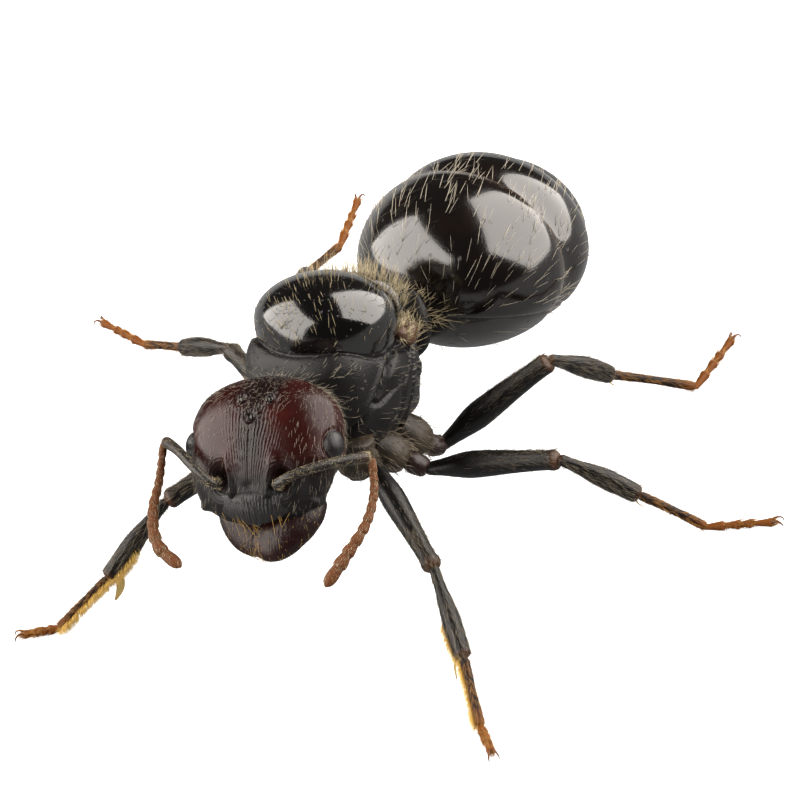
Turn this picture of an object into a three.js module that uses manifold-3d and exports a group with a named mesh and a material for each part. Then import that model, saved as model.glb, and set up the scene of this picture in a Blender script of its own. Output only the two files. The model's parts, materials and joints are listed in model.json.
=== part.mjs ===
// Ant: a wingless harvester-ant queen standing on six legs, as a still model.
// Millimetres, +Z up. The ant faces -Y, its left side is +X, and its feet stand on z = 0.
// Plates and limb segments are unit spheres reshaped by short lists of [station, size],
// then cut by planes and by their neighbours so that a thin clearance parts them.
import * as THREE from "three";
import { mergeVertices } from "three/addons/utils/BufferGeometryUtils.js";
import Module from "manifold-3d";

const wasm = await Module();
wasm.setup();

// ---------------------------------------------------------------- driving dimensions
const GAP = 0.04; // clearance between neighbouring plates and segments
const FOOT_HEIGHT = 0.19; // centre line of a foot above the floor
const WIDEST = 0.6; // share of a section's height at which it is widest
const SQUARE_END = 5; // exponent: the higher, the blunter the ends of trunk and head

// The trunk's own frame: y from the neck (-) to the waist (+), z up from the belly.
const TRUNK = {
  place: [-0.1, -0.5, 2.5],
  pitch: 25, // degrees, nose up
  yaw: -4, // degrees, nose towards the ant's left when positive
  lean: 7, // degrees, left side up
  front: -2.45,
  rear: 2.3,
  width: [[-2.45, 0.8], [-2.1, 1.4], [-1.2, 1.74], [-0.3, 1.72], [0.7, 1.55], [1.5, 1.35], [2.3, 1.0]],
  top: [[-2.45, 2.1], [-2.1, 2.95], [-1.4, 3.35], [0.6, 3.45], [1.3, 3.15], [1.8, 2.5], [2.3, 1.6]],
  belly: [[-2.45, 1.0], [-1.9, 0.6], [-1.1, 0.0], [0.2, -0.25], [1.3, -0.1], [2.3, 0.2]],
  boxy: 0.75, // below 1 the section bulges towards its corners
  narrow: 0.22, // how much of its width the section loses at the belly
};
const SCUTUM = { centre: [0, -0.45, 3.1], half: [1.77, 1.6, 1.35], floor: 2.7 };
const SCUTELLUM = { centre: [0, 1.1, 3.1], half: [1.05, 0.65, 0.92], floor: 2.6 };
const WING_STUB = { centre: [1.45, 0.6, 2.85], half: [0.24, 0.34, 0.3] };
// Oblique grooves in the trunk's side: each passes through two points given as [y, z].
const COLLAR_GROOVE = [[-1.75, 0.5], [0.1, 3.0]];
const WAIST_GROOVE = [[0.85, 0.2], [1.1, 3.0]];

const PETIOLE = { centre: [0.05, 2.72, 2.35], half: [0.62, 0.42, 0.9] };
const POSTPETIOLE = { centre: [0.05, 3.45, 2.55], half: [0.78, 0.45, 0.72] };

const GASTER = {
  place: [-0.25, 6.1, 3.16],
  half: [2.78, 3.25, 2.23],
  blunt: 2.65, // the front is flatter than the tail and ends this far ahead of the centre
  shoulder: 0.25, // exponent that fills out the front's shoulders
  droop: 15, // degrees, tail down
  rings: [0.05, 1.4, 2.35], // where one back plate ends and the next begins
  step: 0.05, // how far each plate is tucked under the one before
  seam: -1.15, // height where the back plates meet the belly plates
};

// The head's own frame: x to its left, y to its crown, z out of its face.
const HEAD = {
  place: [0.34, -3.39, 4.86],
  nod: 46, // degrees from upright
  turn: 9, // degrees to the ant's left
  tilt: 8, // degrees, left cheek up
  width: [[-1.72, 1.2], [-1.45, 1.5], [-0.9, 1.72], [0, 1.88], [0.5, 1.88], [1.1, 1.78], [1.85, 1.5]],
  face: [[-1.72, 0.85], [-1.1, 1.3], [-0.3, 1.38], [0.6, 1.3], [1.3, 1.05], [1.85, 0.6]],
  back: [[-1.72, 0.35], [-1.0, 0.85], [0.2, 1.1], [1.0, 1.0], [1.85, 0.45]],
  boxy: 0.95,
};
const EYE = { centre: [1.72, 0.22, 0.5], half: [0.28, 0.36, 0.32] };
const MANDIBLE = {
  // centre line from the cheek to the tip, for the left one
  path: [[0.98, -1.35, 0.3], [0.86, -1.72, 0.5], [0.57, -2.02, 0.65], [0.08, -2.17, 0.68]],
  under: [0.12, 0.3], // how far the right one lies above and behind the left
  wide: [[0, 0.38], [0.35, 0.39], [0.75, 0.34], [1, 0.25]],
};
// Feelers: centre lines in the head's frame. The scape is the long first joint.
const FEELER = {
  left: {
    scape: [[0.71, -0.74, 1.62], [1.15, -0.52, 1.62], [1.86, -0.25, 1.2], [2.68, -0.05, 0.5]],
    lash: [[2.76, -0.2, 0.45], [2.78, -0.95, 0.5], [2.7, -1.6, 0.75], [2.36, -2.3, 1.05], [1.93, -3.05, 1.33]],
  },
  right: {
    scape: [[-0.77, -0.7, 1.62], [-1.3, -0.3, 1.55], [-1.9, 0.1, 1.15], [-2.5, 0.35, 0.65]],
    lash: [[-2.55, 0.2, 0.6], [-2.57, -0.55, 0.8], [-2.54, -1.3, 1.2], [-2.25, -2.1, 1.5], [-1.65, -2.6, 1.5]],
  },
};
const SCAPE_RADIUS = [[0, 0.24], [0.5, 0.22], [1, 0.25]];
const LASH = { beads: 11, radius: [[0, 0.2], [1, 0.25]], waist: 0.82 };

// Legs: segment lengths, alike on both sides.
const LEG = {
  front: { femur: 3.7, tibia: 2.32, basitarsus: 1.68, tarsus: 0.85 },
  mid: { femur: 3.8, tibia: 2.16, basitarsus: 1.75, tarsus: 1.6 },
  hind: { femur: 3.65, tibia: 2.38, basitarsus: 2.54, tarsus: 1.82 },
};
// Stance: where the coxa starts, where it ends and where the thigh starts, then the bearing of
// each segment. A bearing is [degrees back from straight out to the side, degrees up]; the
// basitarsus slopes down to the floor by itself, and the tarsus lists how far its tip is raised.
const STANCE = {
  front_left: {
    coxa: [[0.62, -1.5, 3.45], [0.85, -1.45, 2.7]], hip: [1.0, -0.87, 2.58],
    femur: [-36, -8.5], tibia: [-44.5, -27.5], basitarsus: -49.5, tarsus: [-43, 0.1],
  },
  front_right: {
    coxa: [[-1.05, -1.5, 3.3], [-1.4, -1.2, 2.65]], hip: [-1.57, -0.3, 2.6],
    femur: [-56, -10], tibia: [-65.5, -31], basitarsus: -63.5, tarsus: [-34, 0.1],
  },
  mid_left: {
    coxa: [[0.8, -0.35, 2.6], [1.4, -0.08, 2.1]], hip: [1.84, 0.09, 1.8],
    femur: [8, 15.5], tibia: [27, -39], basitarsus: 32.5, tarsus: [26.5, 0.2],
  },
  mid_right: {
    coxa: [[-1.0, -0.33, 2.4], [-1.6, -0.05, 1.95]], hip: [-1.94, 0.3, 1.72],
    femur: [28, 1.5], tibia: [12, -24.5], basitarsus: 14.5, tarsus: [12.5, 0.3],
  },
  hind_left: {
    coxa: [[0.8, 0.65, 2.3], [1.35, 0.85, 1.72]], hip: [1.5, 1.22, 1.48],
    femur: [35, 34], tibia: [74.5, -46.5], basitarsus: 60, tarsus: [90, 0],
  },
  hind_right: {
    coxa: [[-0.9, 0.68, 2.1], [-1.45, 1.05, 1.6]], hip: [-1.75, 1.42, 1.42],
    femur: [46, 17], tibia: [55.5, -30], basitarsus: 73, tarsus: [73, 0.2],
  },
};
// Half thickness along each segment, as [share of length, across, deep].
const SEGMENT = {
  coxa: [[0, 0.46, 0.46], [0.55, 0.5, 0.48], [1, 0.34, 0.34]],
  trochanter: [[0, 0.25, 0.25], [0.6, 0.29, 0.29], [1, 0.25, 0.25]],
  femur: [[0, 0.24, 0.24], [0.35, 0.3, 0.36], [0.8, 0.25, 0.27], [0.93, 0.24, 0.29], [1, 0.24, 0.26]],
  tibia: [[0, 0.24, 0.24], [0.12, 0.23, 0.23], [0.6, 0.27, 0.3], [0.9, 0.25, 0.27], [1, 0.24, 0.25]],
  basitarsus: [[0, 0.24, 0.24], [0.5, 0.23, 0.23], [1, 0.24, 0.24]],
};
const FOOT = { joints: 4, radius: 0.235, waist: 0.8 };
const CLAW = { length: 0.32, radius: 0.1, root: 0.15, spread: [0.05, 0.16, 0.2], thin: 0.5 };
const SOCKET = 0.12; // how far a segment reaches back to meet the one before
const SPUR = { seat: 0.93, length: 0.5, radius: 0.09, depth: [0.12, 0.34, 0.38], thin: 0.6 };

// Facets around and along each shape.
const FACETS = {
  trunk: [16, 12],
  scutum: [16, 10],
  scutellum: [12, 8],
  stub: [6, 4],
  waist: [10, 7],
  gaster: [20, 14],
  skull: [20, 12],
  eye: [8, 6],
  jaw: [8, 8],
  scape: [7, 6],
  lash: [6, 20],
  coxa: [7, 4],
  trochanter: [6, 4],
  femur: [7, 8],
  tibia: [7, 7],
  basitarsus: [6, 4],
  foot: [6, 8],
  spine: [4, 4],
};

const LOOK = {
  gloss: { color: "#15110f", roughness: 0.2 },
  dull: { color: "#292624", roughness: 0.45 },
  head: { color: "#47191a", roughness: 0.35 },
  jaw: { color: "#4f1c14", roughness: 0.3 },
  eye: { color: "#3b3a3d", roughness: 0.3 },
  feeler: { color: "#8c4423", roughness: 0.5 },
  scape: { color: "#5a4936", roughness: 0.5 },
  foot: { color: "#8f4d20", roughness: 0.5 },
};

// ---------------------------------------------------------------- small tools
const rad = THREE.MathUtils.degToRad;
const UP = [0, 0, 1];
const DOWN = [0, 0, -1];
const CAP = 0.06; // share of a tube's length over which its end rounds off
const POLE = 0.9999; // past this height on the unit sphere a tube has closed to a point
const TUBE_SIDE = new THREE.Vector3(0.13, 0.29, 1); // no tube runs in this direction

// Smooth value at x through a short list of [x, value, ...] stations.
function along(stations, x, column = 1) {
  const last = stations[stations.length - 1];
  if (x <= stations[0][0]) return stations[0][column];
  for (let i = 1; i < stations.length; i++) {
    const [from, to] = [stations[i - 1], stations[i]];
    if (x <= to[0]) {
      const share = THREE.MathUtils.smoothstep(x, from[0], to[0]);
      return THREE.MathUtils.lerp(from[column], to[column], share);
    }
  }
  return last[column];
}

function power(value, exponent) {
  return Math.sign(value) * Math.abs(value) ** exponent;
}

function weld(geometry) {
  geometry.deleteAttribute("normal");
  geometry.deleteAttribute("uv");
  return mergeVertices(geometry, 1e-5);
}

// A unit sphere with every point moved by shape(point).
function sculpt([around, rings], shape) {
  const geometry = new THREE.SphereGeometry(1, around, rings);
  const position = geometry.attributes.position;
  const point = new THREE.Vector3();
  for (let i = 0; i < position.count; i++) {
    point.fromBufferAttribute(position, i);
    shape(point);
    position.setXYZ(i, point.x, point.y, point.z);
  }
  return weld(geometry);
}

function egg({ centre, half }, facets) {
  return sculpt(facets, (p) => {
    p.set(centre[0] + half[0] * p.x, centre[1] + half[1] * p.y, centre[2] + half[2] * p.z);
  });
}

// A shape with poles at its two ends in y and a boxy section given by three station lists.
function hull({ from, to, width, top, bottom, boxy, narrow }, facets) {
  return sculpt(facets, (p) => {
    const y = THREE.MathUtils.mapLinear(p.y, -1, 1, from, to);
    const ring = Math.hypot(p.x, p.z) || 1;
    const end = Math.sqrt(1 - Math.abs(p.y) ** SQUARE_END);
    const across = power(p.x / ring, boxy) * along(width, y);
    const up = power(p.z / ring, boxy);
    const high = top(y);
    const low = bottom(y);
    const middle = low + WIDEST * (high - low);
    const reach = up > 0 ? high - middle : middle - low;
    const taper = 1 - narrow * Math.max(0, -up) ** 2;
    p.set(across * taper * end, y, middle + reach * up * end);
  });
}

// A round tube of varying radius along a smooth path, with rounded ends.
function vine(points, radiusAt, facets) {
  const path = new THREE.CatmullRomCurve3(points.map((p) => new THREE.Vector3(...p)));
  const side = new THREE.Vector3();
  const lift = new THREE.Vector3();
  return sculpt(facets, (p) => {
    const share = (1 - p.y) / 2;
    const tangent = path.getTangentAt(share);
    const ring = Math.hypot(p.x, p.z) || 1;
    const radius = radiusAt(share) * roundEnd(p.y);
    side.crossVectors(TUBE_SIDE, tangent).normalize();
    lift.crossVectors(side, tangent);
    const [x, z] = [p.x / ring, p.z / ring];
    p.copy(path.getPointAt(share));
    p.addScaledVector(side, x * radius).addScaledVector(lift, -z * radius);
  });
}

// How full a tube is at a height from -1 to 1 on the unit sphere: 1, and rounding off to 0 at the ends.
function roundEnd(height) {
  if (Math.abs(height) > POLE) return 0;
  const edge = Math.min(1, (1 - Math.abs(height)) / 2 / CAP);
  return Math.sqrt(1 - (1 - edge) ** 2);
}

// A straight segment along +y with half thicknesses from a station list.
function segment(length, stations, facets) {
  return sculpt(facets, (p) => {
    const share = (1 + p.y) / 2;
    const ring = Math.hypot(p.x, p.z) || 1;
    const round = roundEnd(p.y);
    const across = (p.x / ring) * along(stations, share, 1) * round;
    const deep = (p.z / ring) * along(stations, share, 2) * round;
    p.set(across, share * length, deep);
  });
}

// ---------------------------------------------------------------- solids: joins and cuts
function solidOf(geometry) {
  const mesh = new wasm.Mesh({
    numProp: 3,
    vertProperties: new Float32Array(geometry.attributes.position.array),
    triVerts: new Uint32Array(geometry.index.array),
  });
  return new wasm.Manifold(mesh);
}

function geometryOf(solid) {
  const mesh = solid.getMesh();
  const geometry = new THREE.BufferGeometry();
  const position = new Float32Array(mesh.vertProperties);
  geometry.setAttribute("position", new THREE.BufferAttribute(position, 3));
  geometry.setIndex(new THREE.BufferAttribute(new Uint32Array(mesh.triVerts), 1));
  return geometry;
}

// The same closed geometry with its skin moved out by GAP.
function grown(geometry) {
  const wide = geometry.clone();
  wide.computeVertexNormals();
  const position = wide.attributes.position;
  const normal = wide.attributes.normal;
  for (let i = 0; i < position.count; i++) {
    position.setXYZ(
      i,
      position.getX(i) + GAP * normal.getX(i),
      position.getY(i) + GAP * normal.getY(i),
      position.getZ(i) + GAP * normal.getZ(i),
    );
  }
  wide.deleteAttribute("normal");
  return wide;
}

function join(...geometries) {
  return geometryOf(geometries.map(solidOf).reduce((sum, next) => sum.add(next)));
}

function cut(geometry, ...tools) {
  return geometryOf(tools.reduce((rest, tool) => rest.subtract(solidOf(tool)), solidOf(geometry)));
}

// Keeps the side of a plane that its normal points to.
function keep(geometry, normal, offset) {
  return geometryOf(solidOf(geometry).trimByPlane(normal, offset));
}

// The two sides of the plane through two [y, z] points, in front of it and behind it.
function split(geometry, [[y0, z0], [y1, z1]]) {
  const normal = new THREE.Vector3(0, z1 - z0, y0 - y1).normalize();
  const offset = normal.y * y0 + normal.z * z0;
  const behind = keep(geometry, normal.toArray(), offset + GAP / 2);
  const ahead = keep(geometry, normal.clone().negate().toArray(), GAP / 2 - offset);
  return [ahead, behind];
}

function addNode(parent, name, look, geometry) {
  const mesh = new THREE.Mesh(geometry, new THREE.MeshStandardMaterial({ ...look, metalness: 0 }));
  mesh.name = name;
  parent.add(mesh);
  return mesh;
}

// Cuts the grown tools out of a node, whatever groups they stand in.
function carve(mesh, ...tools) {
  const back = mesh.matrixWorld.clone().invert();
  const moved = tools.map((tool) => {
    const geometry = tool.geometry.clone().applyMatrix4(tool.matrixWorld).applyMatrix4(back);
    return grown(geometry);
  });
  mesh.geometry = cut(mesh.geometry, ...moved);
}

// ---------------------------------------------------------------- trunk
function buildTrunk(ant) {
  const trunk = new THREE.Group();
  trunk.position.set(...TRUNK.place);
  trunk.rotation.set(rad(-TRUNK.pitch), rad(-TRUNK.lean), rad(TRUNK.yaw), "ZXY");
  ant.add(trunk);

  const body = hull({
    from: TRUNK.front,
    to: TRUNK.rear,
    width: TRUNK.width,
    top: (y) => along(TRUNK.top, y),
    bottom: (y) => along(TRUNK.belly, y),
    boxy: TRUNK.boxy,
    narrow: TRUNK.narrow,
  }, FACETS.trunk);
  const scutum = keep(egg(SCUTUM, FACETS.scutum), UP, SCUTUM.floor);
  const knob = keep(egg(SCUTELLUM, FACETS.scutellum), UP, SCUTELLUM.floor);
  const scutellum = cut(knob, grown(scutum));
  const rest = cut(body, grown(scutum), grown(scutellum));
  const [pronotum, behind] = split(rest, COLLAR_GROOVE);
  const [mesothorax, propodeum] = split(behind, WAIST_GROOVE);
  const stubs = [1, -1].map((side) => {
    const centre = [side * WING_STUB.centre[0], WING_STUB.centre[1], WING_STUB.centre[2]];
    return cut(egg({ centre, half: WING_STUB.half }, FACETS.stub), grown(scutum), grown(scutellum));
  });

  return {
    pronotum: addNode(trunk, "pronotum", LOOK.dull, pronotum),
    scutum: addNode(trunk, "scutum", LOOK.gloss, scutum),
    scutellum: addNode(trunk, "scutellum", LOOK.gloss, scutellum),
    mesothorax: addNode(trunk, "mesothorax", LOOK.dull, join(mesothorax, ...stubs)),
    propodeum: addNode(trunk, "propodeum", LOOK.dull, propodeum),
    petiole: addNode(trunk, "petiole", LOOK.dull, egg(PETIOLE, FACETS.waist)),
    postpetiole: addNode(trunk, "postpetiole", LOOK.dull, egg(POSTPETIOLE, FACETS.waist)),
  };
}

// ---------------------------------------------------------------- gaster
function buildGaster(ant) {
  const gaster = new THREE.Group();
  gaster.position.set(...GASTER.place);
  gaster.rotation.set(rad(-GASTER.droop), 0, 0);
  ant.add(gaster);

  const [halfWidth, halfLength, halfHeight] = GASTER.half;
  const edges = [-GASTER.blunt, ...GASTER.rings, halfLength];
  const nodes = {};
  for (let i = 0; i + 1 < edges.length; i++) {
    const tuck = GASTER.step * i;
    let ring = sculpt(FACETS.gaster, (p) => {
      const girth = p.y < 0 ? Math.max(0.001, Math.hypot(p.x, p.z)) ** -GASTER.shoulder : 1;
      const reach = p.y < 0 ? GASTER.blunt : halfLength;
      p.set((halfWidth - tuck) * p.x * girth, reach * p.y, (halfHeight - tuck) * p.z * girth);
    });
    if (i > 0) ring = keep(ring, [0, 1, 0], edges[i] + GAP / 2);
    if (i + 2 < edges.length) ring = keep(ring, [0, -1, 0], GAP / 2 - edges[i + 1]);
    if (i < 2) {
      const belly = keep(ring, DOWN, GAP / 2 - GASTER.seam);
      ring = keep(ring, UP, GASTER.seam + GAP / 2);
      nodes[`sternite_${i + 1}`] = addNode(gaster, `gaster_sternite_${i + 1}`, LOOK.gloss, belly);
    }
    nodes[`tergite_${i + 1}`] = addNode(gaster, `gaster_tergite_${i + 1}`, LOOK.gloss, ring);
  }
  return nodes;
}

// ---------------------------------------------------------------- head
function buildHead(ant) {
  const neck = new THREE.Group();
  neck.position.set(...HEAD.place);
  neck.rotation.set(rad(HEAD.nod), 0, rad(HEAD.turn), "ZXY");
  const head = new THREE.Group();
  head.rotation.z = rad(HEAD.tilt);
  neck.add(head);
  ant.add(neck);

  const skull = hull({
    from: HEAD.width[0][0],
    to: HEAD.width[HEAD.width.length - 1][0],
    width: HEAD.width,
    top: (y) => along(HEAD.face, y),
    bottom: (y) => -along(HEAD.back, y),
    boxy: HEAD.boxy,
    narrow: 0,
  }, FACETS.skull);
  const nodes = { head: addNode(head, "head", LOOK.head, skull) };
  for (const [word, side] of [["left", 1], ["right", -1]]) {
    const add = (part, look, geometry) => {
      nodes[`${part}_${word}`] = addNode(head, `${part}_${word}`, look, geometry);
    };
    const centre = [side * EYE.centre[0], EYE.centre[1], EYE.centre[2]];
    const [above, behind] = side > 0 ? [0, 0] : MANDIBLE.under;
    const jawPath = MANDIBLE.path.map(([x, y, z]) => [side * x, y + above, z - behind]);
    const { scape, lash } = FEELER[word];
    add("eye", LOOK.eye, egg({ centre, half: EYE.half }, FACETS.eye));
    add("mandible", LOOK.jaw, vine(jawPath, (share) => along(MANDIBLE.wide, share), FACETS.jaw));
    add("antenna_scape", LOOK.scape, vine(scape, (share) => along(SCAPE_RADIUS, share), FACETS.scape));
    add("antenna_lash", LOOK.feeler, vine(lash, lashRadius, FACETS.lash));
  }
  return nodes;
}

// Beads along a length: 1 at the middle of each, down to the waist between two.
function beaded(count, waist, share) {
  return THREE.MathUtils.lerp(waist, 1, Math.abs(Math.sin(Math.PI * count * share)));
}

function lashRadius(share) {
  return along(LASH.radius, share) * beaded(LASH.beads, LASH.waist, share);
}

// ---------------------------------------------------------------- legs
function bearing([back, up], side) {
  const flat = Math.cos(rad(up));
  return new THREE.Vector3(side * flat * Math.cos(rad(back)), flat * Math.sin(rad(back)), Math.sin(rad(up)));
}

// Turns local +y to the direction, with local +z as near to straight up as it goes.
function aim(mesh, start, direction) {
  const across = new THREE.Vector3().crossVectors(direction, new THREE.Vector3(0, 0, 1)).normalize();
  const deep = new THREE.Vector3().crossVectors(across, direction);
  const basis = new THREE.Matrix4().makeBasis(across, direction, deep);
  mesh.quaternion.setFromRotationMatrix(basis);
  mesh.position.copy(start);
}

function footGeometry(length, rise) {
  const path = [[0, 0, 0], [0, 0.6 * length, 0], [0, length, rise]];
  const bead = (share) => FOOT.radius * beaded(FOOT.joints, FOOT.waist, share);
  const [rootSide, bendSide, tipSide] = CLAW.spread;
  const hooks = [1, -1].map((side) => {
    const hook = [
      [side * rootSide, length - CLAW.root, rise],
      [side * bendSide, length + 0.7 * CLAW.length, rise],
      [side * tipSide, length + CLAW.length, rise - CLAW.length],
    ];
    return vine(hook, (share) => CLAW.radius * (1 - CLAW.thin * share), FACETS.spine);
  });
  return join(vine(path, bead, FACETS.foot), ...hooks);
}

function tibiaGeometry(length) {
  const seat = SPUR.seat * length;
  const path = SPUR.depth.map((depth, i) => [0, seat + (SPUR.length * i) / 2, -depth]);
  const spur = vine(path, (share) => SPUR.radius * (1 - SPUR.thin * share), FACETS.spine);
  return join(segment(length, SEGMENT.tibia, FACETS.tibia), spur);
}

function buildLeg(ant, place) {
  const [pair, word] = place.split("_");
  const side = word === "left" ? 1 : -1;
  const stance = STANCE[place];
  const size = LEG[pair];
  const name = (part) => `leg_${place}_${part}`;
  const nodes = {};

  const plain = (part) => (length) => segment(length, SEGMENT[part], FACETS[part]);
  const lay = (part, look, start, end, geometryFor = plain(part)) => {
    const direction = end.clone().sub(start);
    const length = direction.length() + SOCKET;
    direction.normalize();
    nodes[part] = addNode(ant, name(part), look, geometryFor(length));
    aim(nodes[part], start.clone().addScaledVector(direction, -SOCKET), direction);
  };

  const [top, knuckle] = stance.coxa.map((p) => new THREE.Vector3(...p));
  const hip = new THREE.Vector3(...stance.hip);
  const knee = hip.clone().addScaledVector(bearing(stance.femur, side), size.femur);
  const ankle = knee.clone().addScaledVector(bearing(stance.tibia, side), size.tibia);
  const drop = THREE.MathUtils.radToDeg(Math.asin((ankle.z - FOOT_HEIGHT) / size.basitarsus));
  const heel = ankle.clone().addScaledVector(bearing([stance.basitarsus, -drop], side), size.basitarsus);
  const [spread, rise] = stance.tarsus;
  const toe = heel.clone().addScaledVector(bearing([spread, 0], side), size.tarsus);

  lay("coxa", LOOK.dull, top, knuckle);
  lay("trochanter", LOOK.foot, knuckle, hip);
  lay("femur", LOOK.gloss, hip, knee);
  lay("tibia", LOOK.dull, knee, ankle, tibiaGeometry);
  lay("basitarsus", LOOK.foot, ankle, heel);
  lay("tarsus", LOOK.foot, heel, toe, (length) => footGeometry(length, rise));
  return nodes;
}

// ---------------------------------------------------------------- the whole ant
const ant = new THREE.Group();
const trunk = buildTrunk(ant);
const gaster = buildGaster(ant);
const head = buildHead(ant);
const legs = Object.keys(STANCE).map((place) => buildLeg(ant, place));
ant.updateMatrixWorld(true);

// Neighbours give way to one another, so that nothing overlaps.
carve(trunk.pronotum, head.head);
carve(trunk.petiole, trunk.propodeum);
carve(trunk.postpetiole, trunk.petiole, trunk.propodeum);
carve(gaster.tergite_1, trunk.postpetiole, trunk.petiole, trunk.scutellum, trunk.propodeum);
carve(gaster.sternite_1, trunk.postpetiole, trunk.petiole);
for (const word of ["left", "right"]) {
  carve(head[`eye_${word}`], head.head);
  carve(head[`mandible_${word}`], head.head);
  carve(head[`antenna_scape_${word}`], head.head);
  carve(head[`antenna_lash_${word}`], head[`antenna_scape_${word}`]);
}
carve(head.mandible_right, head.mandible_left);
for (const leg of legs) {
  carve(leg.coxa, trunk.pronotum, trunk.mesothorax, trunk.propodeum);
  carve(leg.trochanter, leg.coxa, trunk.mesothorax, trunk.propodeum);
  carve(leg.femur, leg.trochanter, leg.coxa);
  carve(leg.tibia, leg.femur);
  carve(leg.basitarsus, leg.tibia);
  carve(leg.tarsus, leg.basitarsus);
  for (const part of [leg.basitarsus, leg.tarsus]) {
    const back = part.matrixWorld.clone().invert();
    const standing = keep(part.geometry.clone().applyMatrix4(part.matrixWorld), UP, 0);
    part.geometry = standing.applyMatrix4(back);
  }
}

// The origin is on the floor under the middle of the ant.
const box = new THREE.Box3().setFromObject(ant, true);
ant.position.set(-(box.min.x + box.max.x) / 2, -(box.min.y + box.max.y) / 2, 0);

export default ant;
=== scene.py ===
"""Dresses the solids of a wingless harvester-ant queen: shell plates, jaws, feelers, feet and hairs.

Every plate, limb and hair is worked out in millimetres in its own frame and then laid into the
row's frame in metres. The ant faces -Y, its left side is +X, and its feet stand on z = 0.
"""

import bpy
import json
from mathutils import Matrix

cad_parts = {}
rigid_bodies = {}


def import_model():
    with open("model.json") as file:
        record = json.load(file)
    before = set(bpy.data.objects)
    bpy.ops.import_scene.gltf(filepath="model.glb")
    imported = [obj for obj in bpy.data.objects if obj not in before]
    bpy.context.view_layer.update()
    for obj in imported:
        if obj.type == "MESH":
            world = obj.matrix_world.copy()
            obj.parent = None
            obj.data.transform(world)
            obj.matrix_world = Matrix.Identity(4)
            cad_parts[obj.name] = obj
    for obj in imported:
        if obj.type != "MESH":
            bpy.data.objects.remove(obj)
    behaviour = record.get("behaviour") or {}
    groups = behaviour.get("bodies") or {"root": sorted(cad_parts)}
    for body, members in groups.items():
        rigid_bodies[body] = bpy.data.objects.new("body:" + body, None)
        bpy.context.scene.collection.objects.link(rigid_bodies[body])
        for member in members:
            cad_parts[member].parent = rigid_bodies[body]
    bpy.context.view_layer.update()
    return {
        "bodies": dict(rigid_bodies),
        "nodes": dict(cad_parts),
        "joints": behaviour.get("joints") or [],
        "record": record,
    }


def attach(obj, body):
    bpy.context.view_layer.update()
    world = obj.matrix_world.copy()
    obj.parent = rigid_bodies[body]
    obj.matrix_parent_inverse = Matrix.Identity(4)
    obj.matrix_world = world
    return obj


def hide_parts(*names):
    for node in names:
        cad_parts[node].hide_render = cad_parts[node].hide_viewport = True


bl_info = {
    "name": "Harvester Ant Queen",
    "version": (1, 0, 0),
    "blender": (4, 5, 0),
    "location": "View3D > Sidebar > Ant",
    "description": "Builds the shell, jaws, feelers, feet and hairs of a standing queen ant",
    "category": "Add Mesh",
}

import json
import math

import bmesh
import bpy
import numpy as np
from mathutils import Matrix, Vector

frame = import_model()

# ---------------------------------------------------------------- sizes, in millimetres
MM = 0.001
END_SQUARENESS = 5  # how blunt the trunk's and the head's ends are
WIDEST = 0.6  # height of their widest level, as a share
LINE_STEPS = 200  # fineness of a path's measured length
SIDES = (("left", 1), ("right", -1))
ZERO = (0.44098, -1.27951, 0.0)  # the ant's own zero point in the row's frame

# The trunk's own frame: y from the neck (-) to the waist (+), z up from the belly.
TRUNK = {
    "place": (-0.1, -0.5, 2.5),
    "pitch": 25,
    "yaw": -4,
    "lean": 7,
    "width": [(-2.45, 0.8), (-2.1, 1.4), (-1.2, 1.74), (-0.3, 1.72), (0.7, 1.55), (1.5, 1.35), (2.3, 1.0)],
    "top": [(-2.45, 2.1), (-2.1, 2.95), (-1.4, 3.35), (0.6, 3.45), (1.3, 3.15), (1.8, 2.5), (2.3, 1.6)],
    "belly": [(-2.45, 1.0), (-1.9, 0.6), (-1.1, 0.0), (0.2, -0.25), (1.3, -0.1), (2.3, 0.2)],
    "boxy": 0.75,
    "narrow": 0.22,
}
SCUTUM = {
    "centre": (0, -0.45, 3.3),
    "half": (1.79, 1.63, 1.12),
    "under": 1.65,
    "tilt": (-5, -5),
    "floor": 2.62,
}
SCUTELLUM = {"centre": (0, 1.1, 3.1), "half": (1.05, 0.65, 0.92), "floor": 2.5}
WING_STUB = {"centre": (1.5, 0.78, 2.8), "half": (0.2, 0.24, 0.27)}
TEGULA = {"centre": (1.62, 0.36, 2.95), "half": (0.15, 0.2, 0.17)}
COLLAR_GROOVE = ((-1.75, 0.5), (0.1, 3.0))  # (y, z) of two points in the groove
WAIST_GROOVE = ((0.85, 0.2), (1.1, 3.0))
PETIOLE = {"centre": (0.05, 2.72, 2.35), "half": (0.62, 0.42, 0.9)}
POSTPETIOLE = {"centre": (0.05, 3.45, 2.55), "half": (0.78, 0.45, 0.72)}
WAIST_STALKS = {  # name: path and half width
    "waist_stalk_front": ([(0, 1.9, 1.5), (0.02, 2.3, 1.85), (0.05, 2.75, 2.0)], 0.34),
    "waist_stalk_rear": ([(0.05, 2.7, 2.1), (0.05, 3.2, 2.35), (0.05, 3.9, 2.45)], 0.4),
}
GASTER = {
    "place": (-0.25, 6.1, 3.16),
    "half": (2.78, 3.25, 2.23),
    "blunt": 2.65,
    "shoulder": 0.25,
    "droop": 15,
    "lean": 7,
    "rings": (0.05, 1.7, 2.5),
    "tuck": (0.0, -0.07, -0.04, 0.02),
    "seam": (-1.32, -0.3),
}
PLATE_OVERLAP = 0.15  # how far a gaster plate reaches under the one ahead
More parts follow.
